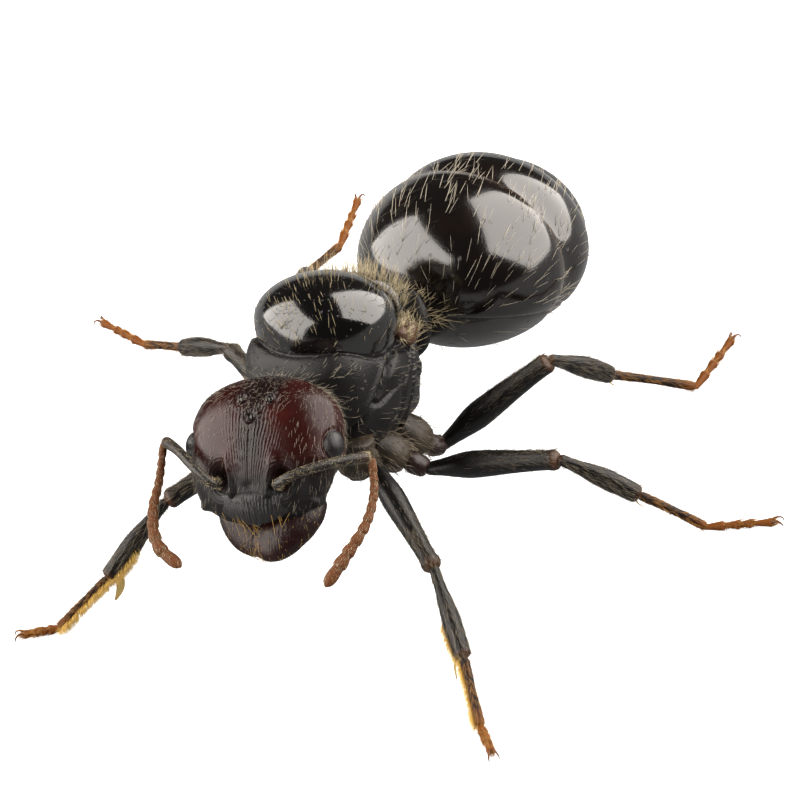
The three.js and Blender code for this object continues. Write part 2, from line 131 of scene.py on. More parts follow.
# The head's own frame: x to its left, y to its crown, z out of its face.
HEAD = {
    "place": (0.34, -3.39, 4.86),
    "nod": 46,
    "turn": 9,
    "tilt": 8,
    "width": [(-1.72, 1.2), (-1.45, 1.5), (-0.9, 1.72), (0, 1.88), (0.5, 1.88), (1.1, 1.78), (1.85, 1.5)],
    "top": [(-1.72, 0.85), (-1.1, 1.3), (-0.3, 1.38), (0.6, 1.3), (1.3, 1.05), (1.85, 0.6)],
    "belly": [(-1.72, -0.35), (-1.0, -0.85), (0.2, -1.1), (1.0, -1.0), (1.85, -0.45)],
    "boxy": 0.95,
    "narrow": 0.0,
}
EYE = {"centre": (1.72, 0.22, 0.5), "half": (0.28, 0.36, 0.32)}
SOCKET = {"centre": (0.78, -0.58), "mark": (0.76, -0.6), "half": (0.22, 0.28)}  # of a feeler
OCELLI = ((0.0, 0.86), (0.36, 1.27), (-0.36, 1.27))
MANDIBLE = {
    "path": [
        (0.98, -0.9, -0.05), (0.88, -1.38, 0.28), (0.62, -1.72, 0.5),
        (0.28, -1.98, 0.6), (-0.3, -2.14, 0.6),
    ],
    "under": (0.12, 0.26),
    "broad": [(0, 0.4), (0.25, 0.5), (0.6, 0.54), (0.8, 0.46), (0.93, 0.27), (1, 0.16)],
    "thick": [(0, 0.34), (0.3, 0.38), (0.7, 0.3), (1, 0.12)],
}
FEELER = {
    "left": {
        "scape": [
            (0.71, -0.68, 1.2), (0.78, -0.7, 1.52), (1.15, -0.52, 1.6),
            (1.86, -0.25, 1.2), (2.68, -0.05, 0.5),
        ],
        "lash": [
            (2.72, -0.08, 0.45), (2.78, -0.95, 0.5), (2.7, -1.6, 0.75),
            (2.36, -2.3, 1.05), (1.93, -3.05, 1.33),
        ],
    },
    "right": {
        "scape": [
            (-0.74, -0.66, 1.2), (-0.84, -0.66, 1.52), (-1.3, -0.3, 1.55),
            (-1.9, 0.1, 1.15), (-2.5, 0.35, 0.65),
        ],
        "lash": [
            (-2.56, 0.32, 0.6), (-2.57, -0.55, 0.8), (-2.54, -1.3, 1.2),
            (-2.25, -2.1, 1.5), (-1.65, -2.6, 1.5),
        ],
    },
}
SCAPE_RADIUS = [(0, 0.14), (0.07, 0.09), (0.25, 0.105), (0.7, 0.12), (0.95, 0.135), (1, 0.11)]
BEADS = (0.34, 0.2, 0.21, 0.22, 0.24, 0.25, 0.27, 0.29, 0.31, 0.33, 0.5)  # relative lengths
LASH_RADIUS = [(0, 0.095), (0.35, 0.115), (0.6, 0.14), (0.86, 0.17), (0.95, 0.14), (1, 0.06)]

LEG = {
    "front": {"femur": 3.7, "tibia": 2.32, "basitarsus": 1.68, "tarsus": 0.85},
    "mid": {"femur": 3.8, "tibia": 2.16, "basitarsus": 1.92, "tarsus": 1.6},
    "hind": {"femur": 3.65, "tibia": 2.38, "basitarsus": 2.7, "tarsus": 1.82},
}
# A bearing is (degrees back from straight out to the side, degrees up); a foot has the first only.
STANCE = {
    "front_left": {
        "coxa": ((1.05, -1.3, 3.72), (0.95, -1.53, 2.82)), "hip": (1.0, -0.87, 2.58),
        "femur": (-36, -8.5), "tibia": (-44.5, -27.5), "basitarsus": -49.5, "tarsus": -43,
    },
    "front_right": {
        "coxa": ((-1.05, -1.5, 3.3), (-1.4, -1.2, 2.65)), "hip": (-1.57, -0.3, 2.6),
        "femur": (-56, -10), "tibia": (-65.5, -31), "basitarsus": -63.5, "tarsus": -34,
    },
    "mid_left": {
        "coxa": ((0.8, -0.35, 2.6), (1.4, -0.08, 2.1)), "hip": (1.84, 0.09, 1.8),
        "femur": (8, 15.5), "tibia": (27, -39), "basitarsus": 32.5, "tarsus": 26.5,
    },
    "mid_right": {
        "coxa": ((-1.0, -0.33, 2.4), (-1.6, -0.05, 1.95)), "hip": (-1.94, 0.3, 1.72),
        "femur": (28, 1.5), "tibia": (12, -24.5), "basitarsus": 14.5, "tarsus": 12.5,
    },
    "hind_left": {
        "coxa": ((0.8, 0.65, 2.3), (1.35, 0.85, 1.72)), "hip": (1.5, 1.22, 1.48),
        "femur": (35, 34), "tibia": (74.5, -46.5), "basitarsus": 60, "tarsus": 90,
    },
    "hind_right": {
        "coxa": ((-0.9, 0.68, 2.1), (-1.45, 1.05, 1.6)), "hip": (-1.75, 1.42, 1.42),
        "femur": (46, 17), "tibia": (55.5, -30), "basitarsus": 73, "tarsus": 73,
    },
}
# Half thickness along each segment, as (share of length, across, deep).
SEGMENT = {
    "coxa": [(0, 0.44, 0.44), (0.5, 0.5, 0.48), (0.85, 0.4, 0.4), (1, 0.26, 0.26)],
    "trochanter": [(0, 0.17, 0.17), (0.45, 0.27, 0.27), (0.8, 0.26, 0.25), (1, 0.18, 0.18)],
    "femur": [
        (0, 0.15, 0.14), (0.12, 0.2, 0.2), (0.38, 0.3, 0.35), (0.7, 0.24, 0.29),
        (0.9, 0.21, 0.26), (0.97, 0.21, 0.26), (1, 0.13, 0.18),
    ],
    "tibia": [
        (0, 0.1, 0.12), (0.06, 0.13, 0.14), (0.15, 0.13, 0.15), (0.6, 0.22, 0.26),
        (0.85, 0.21, 0.24), (0.97, 0.2, 0.22), (1, 0.13, 0.14),
    ],
    "basitarsus": [
        (0, 0.06, 0.06), (0.06, 0.11, 0.11), (0.5, 0.095, 0.1), (0.93, 0.11, 0.115), (1, 0.09, 0.09),
    ],
}
FOOT_HEIGHT = 0.13  # centre line of a foot above the floor
TARSOMERES = (0.3, 0.22, 0.17, 0.31)  # relative lengths of the last four foot joints
TARSOMERE_RADIUS = (0.125, 0.12, 0.115, 0.11)
TARSUS_SOCKET = 0.05
CLAW_TIP = 0.24  # from the foot's end
FRONT_COMB = ((0.1, -0.3, -0.18), (0.24, 0.0, -0.3), (0.3, 0.32, -0.36))
SPUR = ((0.04, -0.1, -0.12), (0.06, 0.08, -0.2), (0.06, 0.24, -0.22))
CLAW_CLEARANCE = 0.03  # claw tips' centre line above the floor
HAIR_CEILING = 7.08  # no hair reaches above this height
HAIR_SEED = 7
LEAST_RISE = 0.12  # of a hair out of its skin, as a share of its length
CELL_EDGE = 0.04  # empty rim of a piece's cell in the hair map
STRAND_PATCH = 0.003  # size of one strand in the hair map

LAMPS = {  # name: direction from the ant, then width and height
    "softbox_front": ((-0.69, -0.575, 0.435), (205, 165)),
    "softbox_rear": ((0.583, 0.627, 0.515), (215, 205)),
}
LAMP_DISTANCE = 120
FLOOR_BOUNCE = 0.24  # share of the floor's colour that lights the ant from below
FLOOR_SIZE = 2.0  # in metres
VIEW = {
    "azimuth": 42, "elevation": 42, "roll": 15, "distance": 120, "aim": (0.003923, 0.0225),
    "lens": 223.6, "sensor": 36, "clip": (0.01, 20),
}


# ---------------------------------------------------------------- numbers along a line
def hermite(knots, values, slopes, x):
    """Cubic values at x through knots with the given slopes, level beyond the ends."""
    i = np.clip(np.searchsorted(knots, x) - 1, 0, len(knots) - 2)
    step = knots[i + 1] - knots[i]
    t = np.clip((x - knots[i]) / step, 0, 1)
    if values.ndim > 1:
        t, step = t[:, None], step[:, None]
    rise = t * t * (3 - 2 * t)
    return (
        values[i] * (1 - rise)
        + values[i + 1] * rise
        + slopes[i] * step * t * (1 - t) ** 2
        - slopes[i + 1] * step * t * t * (1 - t)
    )


def along(stations, x, column=1):
    """Smooth values at x through (x, value, ...) stations, with no overshoot between them."""
    table = np.array(stations, float)
    knots, values = table[:, 0], table[:, column]
    rise = np.diff(values) / np.diff(knots)
    slopes = np.concatenate([rise[:1], np.zeros(len(knots) - 2), rise[-1:]])
    same_way = rise[:-1] * rise[1:] > 0
    total = np.where(same_way, rise[:-1] + rise[1:], 1)
    slopes[1:-1] = np.where(same_way, 2 * rise[:-1] * rise[1:] / total, 0)
    return hermite(knots, values, slopes, np.asarray(x, float))


def walk(path, share):
    """Points and directions at shares 0 to 1 of the length of a smooth line through a path."""
    path = np.array(path, float)
    knots = np.concatenate([[0], np.cumsum(np.linalg.norm(np.diff(path, axis=0), axis=1))])
    chord = np.diff(path, axis=0) / np.diff(knots)[:, None]
    slopes = np.concatenate([chord[:1], (chord[:-1] + chord[1:]) / 2, chord[-1:]])
    fine = np.linspace(0, knots[-1], LINE_STEPS)
    line = hermite(knots, path, slopes, fine)
    run = np.concatenate([[0], np.cumsum(np.linalg.norm(np.diff(line, axis=0), axis=1))])
    at = np.interp(share, run / run[-1], fine)
    nudge = knots[-1] / (2 * LINE_STEPS)
    ahead = hermite(knots, path, slopes, at + nudge)
    behind = hermite(knots, path, slopes, at - nudge)
    return hermite(knots, path, slopes, at), unit(ahead - behind)


def unit(vectors):
    return vectors / np.maximum(np.linalg.norm(vectors, axis=-1, keepdims=True), 1e-9)


def power(value, exponent):
    return np.sign(value) * np.abs(value) ** exponent


def step_up(x, low, high):
    """0 below low, 1 above high, smooth between; low may be the larger."""
    t = np.clip((x - low) / (high - low), 0, 1)
    return t * t * (3 - 2 * t)


def bell(x, centre, width):
    return np.exp(-(((x - centre) / width) ** 2))


def from_line(y, z, points):
    """Distance from a broken line in the y-z plane, and how far along it the nearest point is."""
    best = np.full(len(y), 1e9)
    where = np.zeros(len(y))
    done = 0.0
    for (y0, z0), (y1, z1) in zip(points[:-1], points[1:]):
        dy, dz = y1 - y0, z1 - z0
        length = math.hypot(dy, dz)
        t = np.clip(((y - y0) * dy + (z - z0) * dz) / length**2, 0, 1)
        distance = np.hypot(y - y0 - t * dy, z - z0 - t * dz)
        where = np.where(distance < best, done + t * length, where)
        best = np.minimum(best, distance)
        done += length
    return best, where


# ---------------------------------------------------------------- frames
def turn(axis, degrees):
    return Matrix.Rotation(math.radians(degrees), 4, axis)


ROW = Matrix.Diagonal((MM, MM, MM, 1)) @ Matrix.Translation(ZERO)
TRUNK_FRAME = (
    Matrix.Translation(TRUNK["place"])
    @ turn("Z", TRUNK["yaw"]) @ turn("X", -TRUNK["pitch"]) @ turn("Y", -TRUNK["lean"])
)
HEAD_FRAME = (
    Matrix.Translation(HEAD["place"])
    @ turn("Z", HEAD["turn"]) @ turn("X", HEAD["nod"]) @ turn("Z", HEAD["tilt"])
)
GASTER_FRAME = Matrix.Translation(GASTER["place"]) @ turn("X", -GASTER["droop"]) @ turn("Y", -GASTER["lean"])


# ---------------------------------------------------------------- shaping a mesh
made_balls = {}


def ball(around, rings):
    """A unit sphere with its poles on Y, which remembers where each point was.

    Its faces may come in another order in another run, which shifts the hairs that grow on it.
    """
    if (around, rings) not in made_balls:
        bm = bmesh.new()
        bmesh.ops.create_uvsphere(bm, u_segments=around, v_segments=rings, radius=1, matrix=turn("X", -90))
        keep_place(bm, "unit")
        made_balls[around, rings] = bm
    return made_balls[around, rings].copy()


def round_ball(fineness):
    """A unit sphere of even triangles, for a broad plate."""
    if fineness not in made_balls:
        bm = bmesh.new()
        bmesh.ops.create_icosphere(bm, subdivisions=fineness, radius=1)
        keep_place(bm, "unit")
        made_balls[fineness] = bm
    return made_balls[fineness].copy()


def keep_place(bm, name):
    """Notes where every vertex is now, as an attribute."""
    layer = bm.verts.layers.float_vector.new(name)
    for vert in bm.verts:
        vert[layer] = vert.co


def points_of(bm):
    return np.array([v.co for v in bm.verts], float)


def mould(bm, shape):
    """Moves every vertex to where shape(points) puts it."""
    for vert, point in zip(bm.verts, shape(points_of(bm))):
        vert.co = point
    bm.normal_update()


def emboss(bm, relief):
    """Moves every vertex along its normal by relief(points)."""
    bm.normal_update()
    normals = np.array([v.normal for v in bm.verts], float)
    points = points_of(bm)
    raised = points + normals * relief(points)[:, None]
    for vert, point in zip(bm.verts, raised):
        vert.co = point
    bm.normal_update()


def trim(bm, point, normal):
    """Cuts away what lies beyond a plane and closes the cut with a face."""
    everything = bm.verts[:] + bm.edges[:] + bm.faces[:]
    cut = bmesh.ops.bisect_plane(
        bm, geom=everything, plane_co=point, plane_no=normal, clear_outer=True
    )["geom_cut"]
    rim = [item for item in cut if isinstance(item, bmesh.types.BMEdge)]
    bmesh.ops.edgeloop_fill(bm, edges=rim)
    for edge in rim:
        edge.smooth = False


def groove_plane(groove):
    """Point and backward normal of the plane through a groove's two (y, z) points."""
    (y0, z0), (y1, z1) = groove
    return Vector((0, y0, z0)), Vector((0, z1 - z0, y0 - y1)).normalized()


def beyond(points, groove):
    """How far each point lies behind a groove's plane."""
    point, normal = groove_plane(groove)
    return (points - np.array(point)) @ np.array(normal)


def hull(sphere, spec):
    """The unit sphere as a boxy body between its first and last stations."""
    start, end = spec["width"][0][0], spec["width"][-1][0]
    y = start + (sphere[:, 1] + 1) / 2 * (end - start)
    ring = np.maximum(np.hypot(sphere[:, 0], sphere[:, 2]), 1e-9)
    close = np.sqrt(np.maximum(0, 1 - np.abs(sphere[:, 1]) ** END_SQUARENESS))
    across = power(sphere[:, 0] / ring, spec["boxy"]) * along(spec["width"], y)
    up = power(sphere[:, 2] / ring, spec["boxy"])
    high, low = along(spec["top"], y), along(spec["belly"], y)
    middle = low + WIDEST * (high - low)
    reach = np.where(up > 0, high - middle, middle - low)
    taper = 1 - spec["narrow"] * np.maximum(0, -up) ** 2
    return np.stack([across * taper * close, y, middle + reach * up * close], 1)


def tilt_of(spec):
    """An egg's own tilt about the frame's X and Y axes."""
    about_x, about_y = spec.get("tilt", (0, 0))
    return np.array((turn("X", about_x) @ turn("Y", about_y)).to_3x3())


def egg(spec):
    """Maps the unit sphere to an egg, whose lower half may be taller than its upper one."""
    centre, half = np.array(spec["centre"]), np.array(spec["half"])
    low = np.array([1, 1, spec.get("under", half[2]) / half[2]])
    return lambda sphere: centre + (half * sphere * np.where(sphere[:, 2:] < 0, low, 1)) @ tilt_of(spec).T


def on_side(spec, side):
    """The same egg on the ant's left (1) or right (-1)."""
    x, y, z = spec["centre"]
    return {**spec, "centre": (side * x, y, z)}


def length_share(sphere):
    """How far along the ball each point is, from 0 at one pole to 1 at the other."""
    return np.arccos(np.clip(-sphere[:, 1], -1, 1)) / math.pi


def round_end(share, cap):
    """Girth of a tube that is rounded off over the first and the last cap of its length."""
    edge = np.minimum(1, np.minimum(share, 1 - share) / cap)
    return np.sqrt(np.maximum(0, 1 - (1 - edge) ** 2))


def vine(path, broad, thick, cap, reference=(0.13, 0.29, 1.0)):
    """A tube along a path; broad and thick give its half sizes at a share of the length."""

    def shape(sphere):
        share = length_share(sphere)
        place, ahead = walk(path, share)
        side = unit(np.cross(reference, ahead))
        lift = np.cross(ahead, side)
        ring = np.maximum(np.hypot(sphere[:, 0], sphere[:, 2]), 1e-9)
        end = round_end(share, cap) * (ring > 1e-6)
        x = sphere[:, 0] / ring * broad(share) * end
        z = sphere[:, 2] / ring * thick(share) * end
        return place + side * x[:, None] + lift * z[:, None]

    return shape


def even(radius):
    """The same half size all along."""
    return lambda share: radius + 0 * share


def limb(length, stations, bow=0.0, cap=0.05):
    """A segment along +y, bowed upwards, with half sizes from (share, across, deep) stations."""

    def shape(sphere):
        share = length_share(sphere)
        ring = np.maximum(np.hypot(sphere[:, 0], sphere[:, 2]), 1e-9)
        end = round_end(share, cap)
        x = sphere[:, 0] / ring * along(stations, share, 1) * end
        z = sphere[:, 2] / ring * along(stations, share, 2) * end
        return np.stack([x, share * length, z + bow * np.sin(math.pi * share)], 1)

    return shape


def make_piece(bm, shape, name, place, finish, replaced=(), relief=None, cuts=(), share=None):
    """Shapes a ball, lays it into the row's frame and makes it a piece that rides on the ant.

    relief raises the shape, cuts are the (point, normal) planes that trim it, and share gives the
    value that its finish blends by.
    """
    mould(bm, shape)
    if relief:
        emboss(bm, relief)
    for point, normal in cuts:
        trim(bm, point, normal)
    keep_place(bm, "local")
    layer = bm.verts.layers.float.new("share")
    if share is None:
        share = lambda points: np.zeros(len(points))
    for vert, value in zip(bm.verts, share(points_of(bm))):
        vert[layer] = value
    bmesh.ops.transform(bm, matrix=ROW @ place, verts=bm.verts)
    for face in bm.faces:
        face.smooth = True
    mesh = bpy.data.meshes.new(name)
    bm.to_mesh(mesh)
    bm.free()
    piece = bpy.data.objects.new(name, mesh)
    bpy.context.scene.collection.objects.link(piece)
    mesh.materials.append(finishes()[finish])
    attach(piece, "root")
    if replaced:
        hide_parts(*replaced)


# ---------------------------------------------------------------- shader nodes
def add(tree, kind, inputs=None, **settings):
    """Adds a node, with its settings, and its inputs filled with values or links."""
    made = tree.nodes.new(kind)
    for key, value in settings.items():
        setattr(made, key, value)
    for key, value in (inputs or {}).items():
        if isinstance(value, bpy.types.NodeSocket):
            tree.links.new(value, made.inputs[key])
        else:
            made.inputs[key].default_value = value
    return made


def calc(tree, operation, first, second=None, clamp=False):
    inputs = {0: first} if second is None else {0: first, 1: second}
    return add(tree, "ShaderNodeMath", inputs, operation=operation, use_clamp=clamp).outputs[0]


def ramp(tree, value, low, high):
    """0 at low and 1 at high, smooth between."""
    return add(
        tree, "ShaderNodeMapRange", {0: value, 1: low, 2: high}, interpolation_type="SMOOTHSTEP"
    ).outputs[0]


def blend(tree, share, first, second):
    mix = add(tree, "ShaderNodeMix", {"Factor": share}, data_type="RGBA")
    for socket, value in (("A", first), ("B", second)):
        target = [s for s in mix.inputs if s.name == socket and s.type == "RGBA"][0]
        if isinstance(value, bpy.types.NodeSocket):
            tree.links.new(value, target)
        else:
            target.default_value = value
    return [s for s in mix.outputs if s.type == "RGBA"][0]


def new_group(name, inputs, outputs):
    """A shader group with (name, type, default) inputs and (name, type) outputs."""
    tree = bpy.data.node_groups.new(name, "ShaderNodeTree")
    for label, kind, default in inputs:
        socket = tree.interface.new_socket(label, in_out="INPUT", socket_type=kind)
        if default is not None:
            socket.default_value = default
    for label, kind in outputs:
        tree.interface.new_socket(label, in_out="OUTPUT", socket_type=kind)
    start = tree.nodes.new("NodeGroupInput")
    end = tree.nodes.new("NodeGroupOutput")
    return tree, start.outputs, end.inputs


def use_group(tree, name, inputs):
    return add(tree, "ShaderNodeGroup", inputs, node_tree=bpy.data.node_groups[name]).outputs


def make_groups():
    """Effects that several finishes share. Coordinates are in millimetres."""
    tree, start, end = new_group(
        "Shagreen",
        [
            ("Place", "NodeSocketVector", None),
            ("Per mm", "NodeSocketFloat", 30.0),
            ("Uneven", "NodeSocketFloat", 0.5),
        ],
        [("Height", "NodeSocketFloat"), ("Mottle", "NodeSocketFloat")],
    )
    cells = add(tree, "ShaderNodeTexVoronoi", {"Vector": start[0], "Scale": start[1]}, feature="SMOOTH_F1")
    grain = add(tree, "ShaderNodeTexNoise", {"Vector": start[0], "Scale": start[1], "Detail": 3.0})
    coarse = add(tree, "ShaderNodeTexNoise", {"Vector": start[0], "Scale": 1.3, "Detail": 4.0})
    both = calc(tree, "MULTIPLY_ADD", grain.outputs[0], start[2])
    tree.links.new(cells.outputs["Distance"], both.node.inputs[2])
    tree.links.new(both, end[0])
    tree.links.new(coarse.outputs[0], end[1])

    tree, start, end = new_group(
        "Striae",
        [
            ("Place", "NodeSocketVector", None),
            ("Per mm", "NodeSocketFloat", 11.0),
            ("Fan", "NodeSocketFloat", 0.3),
            ("Waver", "NodeSocketFloat", 0.6),
        ],
        [("Height", "NodeSocketFloat")],
    )
    split = add(tree, "ShaderNodeSeparateXYZ", {0: start[0]}).outputs
    spread = calc(tree, "MULTIPLY_ADD", split[1], start[2])
    spread.node.inputs[2].default_value = 1.0
    fanned = calc(tree, "DIVIDE", split[0], calc(tree, "MAXIMUM", spread, 0.3))
    drift = add(tree, "ShaderNodeTexNoise", {"Vector": start[0], "Scale": 2.6, "Detail": 5.0}).outputs[0]
    phase = calc(tree, "MULTIPLY", fanned, start[1])
    wander = calc(tree, "MULTIPLY", drift, calc(tree, "MULTIPLY", start[3], 4.0))
    wave = calc(tree, "SINE", calc(tree, "MULTIPLY", calc(tree, "ADD", phase, wander), math.tau))
    broken = add(tree, "ShaderNodeTexNoise", {"Vector": start[0], "Scale": 6.0, "Detail": 4.0}).outputs[0]
    strength = calc(tree, "MULTIPLY", wave, ramp(tree, broken, 0.36, 0.6))
    tree.links.new(calc(tree, "MULTIPLY_ADD", strength, 0.5), end[0])
    end[0].links[0].from_node.inputs[2].default_value = 0.5

    tree, start, end = new_group(
        "Punctures",
        [
            ("Place", "NodeSocketVector", None),
            ("Per mm", "NodeSocketFloat", 4.0),
            ("Size", "NodeSocketFloat", 0.14),
        ],
        [("Height", "NodeSocketFloat"), ("Mask", "NodeSocketFloat")],
    )
    spots = add(tree, "ShaderNodeTexVoronoi", {"Vector": start[0], "Scale": start[1]})
    mask = ramp(tree, spots.outputs["Distance"], start[2], 0.0)
    tree.links.new(mask, end[1])
    tree.links.new(calc(tree, "SUBTRACT", 1.0, mask), end[0])


def new_finish(name, roughness, **sockets):
    """A material with a plain Principled shader; sockets hold values that are the same all over."""
    material = bpy.data.materials.new(name)
    material.use_nodes = True
    tree = material.node_tree
    shader = tree.nodes["Principled BSDF"]
    shader.inputs["Roughness"].default_value = roughness
    for label, value in sockets.items():
        shader.inputs[label.replace("_", " ")].default_value = value
    place = add(tree, "ShaderNodeAttribute", attribute_name="local").outputs["Vector"]
    share = add(tree, "ShaderNodeAttribute", attribute_name="share").outputs["Fac"]
    return material, tree, shader, place, share


def shagreen(tree, place, per_mm, uneven=0.8):
    return use_group(tree, "Shagreen", {"Place": place, "Per mm": per_mm, "Uneven": uneven})


def punctures(tree, place, per_mm, size):
    return use_group(tree, "Punctures", {"Place": place, "Per mm": per_mm, "Size": size})


def striae(tree, place, per_mm, fan, waver):
    inputs = {"Place": place, "Per mm": per_mm, "Fan": fan, "Waver": waver}
    return use_group(tree, "Striae", inputs)["Height"]


def roughen(tree, shader, mask, smooth, rough):
    """Roughness that goes from smooth to rough with a mask."""
    value = add(tree, "ShaderNodeMapRange", {0: mask, 3: smooth, 4: rough}).outputs[0]
    tree.links.new(value, shader.inputs["Roughness"])


def dress(tree, shader, colour, *layers):
    """Gives the shader its colour, and (height, depth in mm) layers of relief."""
    tree.links.new(colour, shader.inputs["Base Color"])
    normal = None
    for height, depth in layers:
        inputs = {"Height": height, "Strength": 1.0, "Distance": depth * MM}
        if normal is not None:
            inputs["Normal"] = normal
        normal = add(tree, "ShaderNodeBump", inputs).outputs["Normal"]
    tree.links.new(normal, shader.inputs["Normal"])


def rgb(colour):
    return (*colour, 1.0)


def shell_finish(name, dark, warm, roughness, grain, depth, pits=0.0, coat=0.0, edge=None):
    """Plain cuticle: dark colour, warmer in patches, with a fine shagreen and hair pits painted darker as
    painted shade.
    """
    wax = {"Coat_Weight": coat, "Coat_Roughness": 0.09} if coat else {}
    index = 1.5 if coat else 1.37
    material, tree, shader, place, share = new_finish(name, roughness, IOR=index, **wax)
    skin = shagreen(tree, place, grain, 0.7)
    colour = blend(tree, ramp(tree, skin["Mottle"], 0.42, 0.72), rgb(dark), rgb(warm))
    if edge:
        colour = blend(tree, share, colour, rgb(edge))
    layers = [(skin["Height"], depth)]
    if pits:
        spots = punctures(tree, place, pits, 0.2)
        # The hair pits are painted near black: painted shade in the pits.
        colour = blend(tree, spots["Mask"], colour, (0.001, 0.001, 0.001, 1))
        layers.append((spots["Height"], 0.012))
        roughen(tree, shader, spots["Mask"], roughness, 0.75)
    dress(tree, shader, colour, *layers)
    return material


def striated_finish(name, dark, warm, roughness, per_mm, depth, axis_turn):
    """Matte cuticle with ribs; axis_turn turns the ribs about the frame's axes."""
    material, tree, shader, place, _ = new_finish(name, roughness, IOR=1.56)
    turned = add(tree, "ShaderNodeMapping", {"Vector": place, "Rotation": axis_turn}).outputs[0]
    ribs = striae(tree, turned, per_mm, 0.0, 0.35)
    skin = shagreen(tree, place, 26.0)
    colour = blend(tree, ramp(tree, skin["Mottle"], 0.4, 0.7), rgb(dark), rgb(warm))
    dress(tree, shader, colour, (ribs, depth), (skin["Height"], 0.006))
    return material


def head_finish(red, black):
    """Wine red head: black towards the mouth, ribbed down the forehead, dotted at the sides, with painted
    shade in its feeler sockets and pits.
    """
    material, tree, shader, place, _ = new_finish("capsule_shell", 0.25, IOR=1.37)
    x, y, z = add(tree, "ShaderNodeSeparateXYZ", {0: place}).outputs
    aside = calc(tree, "ABSOLUTE", x)
    skin = shagreen(tree, place, 28.0)
    spots = punctures(tree, place, 4.5, 0.15)
    ribs = striae(tree, place, 15.0, 0.42, 0.42)
    ribbed = calc(tree, "MULTIPLY", ramp(tree, aside, 0.95, 0.35), ramp(tree, y, -1.0, 0.0))
    squares = []
    for value, middle, half in zip((aside, y), SOCKET["mark"], SOCKET["half"]):
        part = calc(tree, "DIVIDE", calc(tree, "SUBTRACT", value, middle), half)
        squares.append(calc(tree, "MULTIPLY", part, part))
    around = calc(tree, "SQRT", calc(tree, "ADD", *squares))
    socket = calc(tree, "MULTIPLY", ramp(tree, around, 1.15, 0.55), ramp(tree, z, 0.2, 0.5))
    rings = calc(tree, "SINE", calc(tree, "MULTIPLY", around, 20.0))
    ringed = calc(tree, "MULTIPLY", ramp(tree, around, 2.6, 1.7), ramp(tree, around, 0.7, 1.1))
    streak = calc(tree, "MULTIPLY", ramp(tree, aside, 0.5, 0.12), 0.75)
    deep = tuple(0.6 * part for part in red)
    red = blend(tree, ramp(tree, skin["Mottle"], 0.35, 0.7), rgb(deep), rgb(red))
    mouth = ramp(tree, y, 0.15, -0.75)
    crown = calc(tree, "MULTIPLY", ramp(tree, y, 0.95, 1.35), ramp(tree, aside, 0.9, 0.3))
    back = ramp(tree, z, 0.1, -0.5)
    dark = mouth
    for part in (calc(tree, "MULTIPLY", crown, 0.8), back, streak):
        dark = calc(tree, "MAXIMUM", dark, part)
    colour = blend(tree, dark, red, rgb(black))
    # The feeler sockets' hollows are painted a darker red: painted shade in the hollows.
    colour = blend(tree, socket, colour, (0.009, 0.0016, 0.001, 1))
    # The pits are painted darker: painted shade in the pits.
    colour = blend(tree, calc(tree, "MULTIPLY", spots["Mask"], 0.6), colour, (0.0015, 0.001, 0.001, 1))
    roughen(tree, shader, mouth, 0.25, 0.5)
    rib_height = calc(tree, "MULTIPLY", ribs, ribbed)
    ringed = calc(tree, "MULTIPLY", ringed, ramp(tree, z, 0.3, 0.6))
    ring_height = calc(tree, "MULTIPLY", rings, ringed)
    fine = ((spots["Height"], 0.008), (skin["Height"], 0.003))
    dress(tree, shader, colour, (rib_height, 0.0135), (ring_height, 0.003), *fine)
    return material


def jaw_finish(red, black):
    """Wine red jaws: darker outward, black where share is 1, with faint ribs."""
    material, tree, shader, place, share = new_finish("jaw_shell", 0.34, IOR=1.36)
    x = add(tree, "ShaderNodeSeparateXYZ", {0: place}).outputs[0]
    ribs = striae(tree, place, 11.0, 0.0, 0.9)
    skin = shagreen(tree, place, 24.0)
    spots = punctures(tree, place, 6.5, 0.18)
    deep = (0.4 * red[0], 0.75 * red[1], 0.9 * red[2])
    outward = ramp(tree, calc(tree, "ABSOLUTE", x), 0.35, 0.85)
    red = blend(tree, outward, rgb(red), rgb(deep))
    red = blend(tree, ramp(tree, skin["Mottle"], 0.35, 0.65), red, rgb(deep))
    colour = blend(tree, ramp(tree, share, 0.4, 1.0), red, rgb(black))
    dress(tree, shader, colour, (ribs, 0.004), (spots["Height"], 0.01), (skin["Height"], 0.004))
    return material


def eye_finish():
    """Matte black eye of small facets."""
    material, tree, shader, place, _ = new_finish("eye_facets", 0.3, IOR=1.5)
    facets = add(tree, "ShaderNodeTexVoronoi", {"Vector": place, "Scale": 34.0}).outputs["Distance"]
    middle, edge = (0.012, 0.012, 0.0135, 1), (0.005, 0.005, 0.0055, 1)
    colour = blend(tree, ramp(tree, facets, 0.0, 0.7), middle, edge)
    dress(tree, shader, colour, (calc(tree, "SUBTRACT", 1.0, facets), 0.008))
    return material


def limb_finish(name, base, tips, roughness, ends, index=1.5):
    """A limb's shell whose ends take the tips' colour: ends is (near start, near end) in shares."""
    material, tree, shader, place, share = new_finish(name, roughness, IOR=index)
    skin = shagreen(tree, place, 24.0)
    root = ramp(tree, share, ends[0], 0.0)
    tip = ramp(tree, share, ends[1], 1.0)
    light = calc(tree, "MAXIMUM", root, tip)
    patchy = calc(tree, "MULTIPLY", light, ramp(tree, skin["Mottle"], 0.2, 0.55))
    colour = blend(tree, patchy, rgb(base), rgb(tips))
    dress(tree, shader, colour, (skin["Height"], 0.006))
    return material


def hair_finish(name, colour, tip):
    """Hair: one colour at the root, blending to another at the tip."""
    material, tree, shader, _, share = new_finish(name, 0.42, IOR=1.5)
    tree.links.new(blend(tree, share, rgb(colour), rgb(tip)), shader.inputs["Base Color"])
    return material


made_finishes = {}


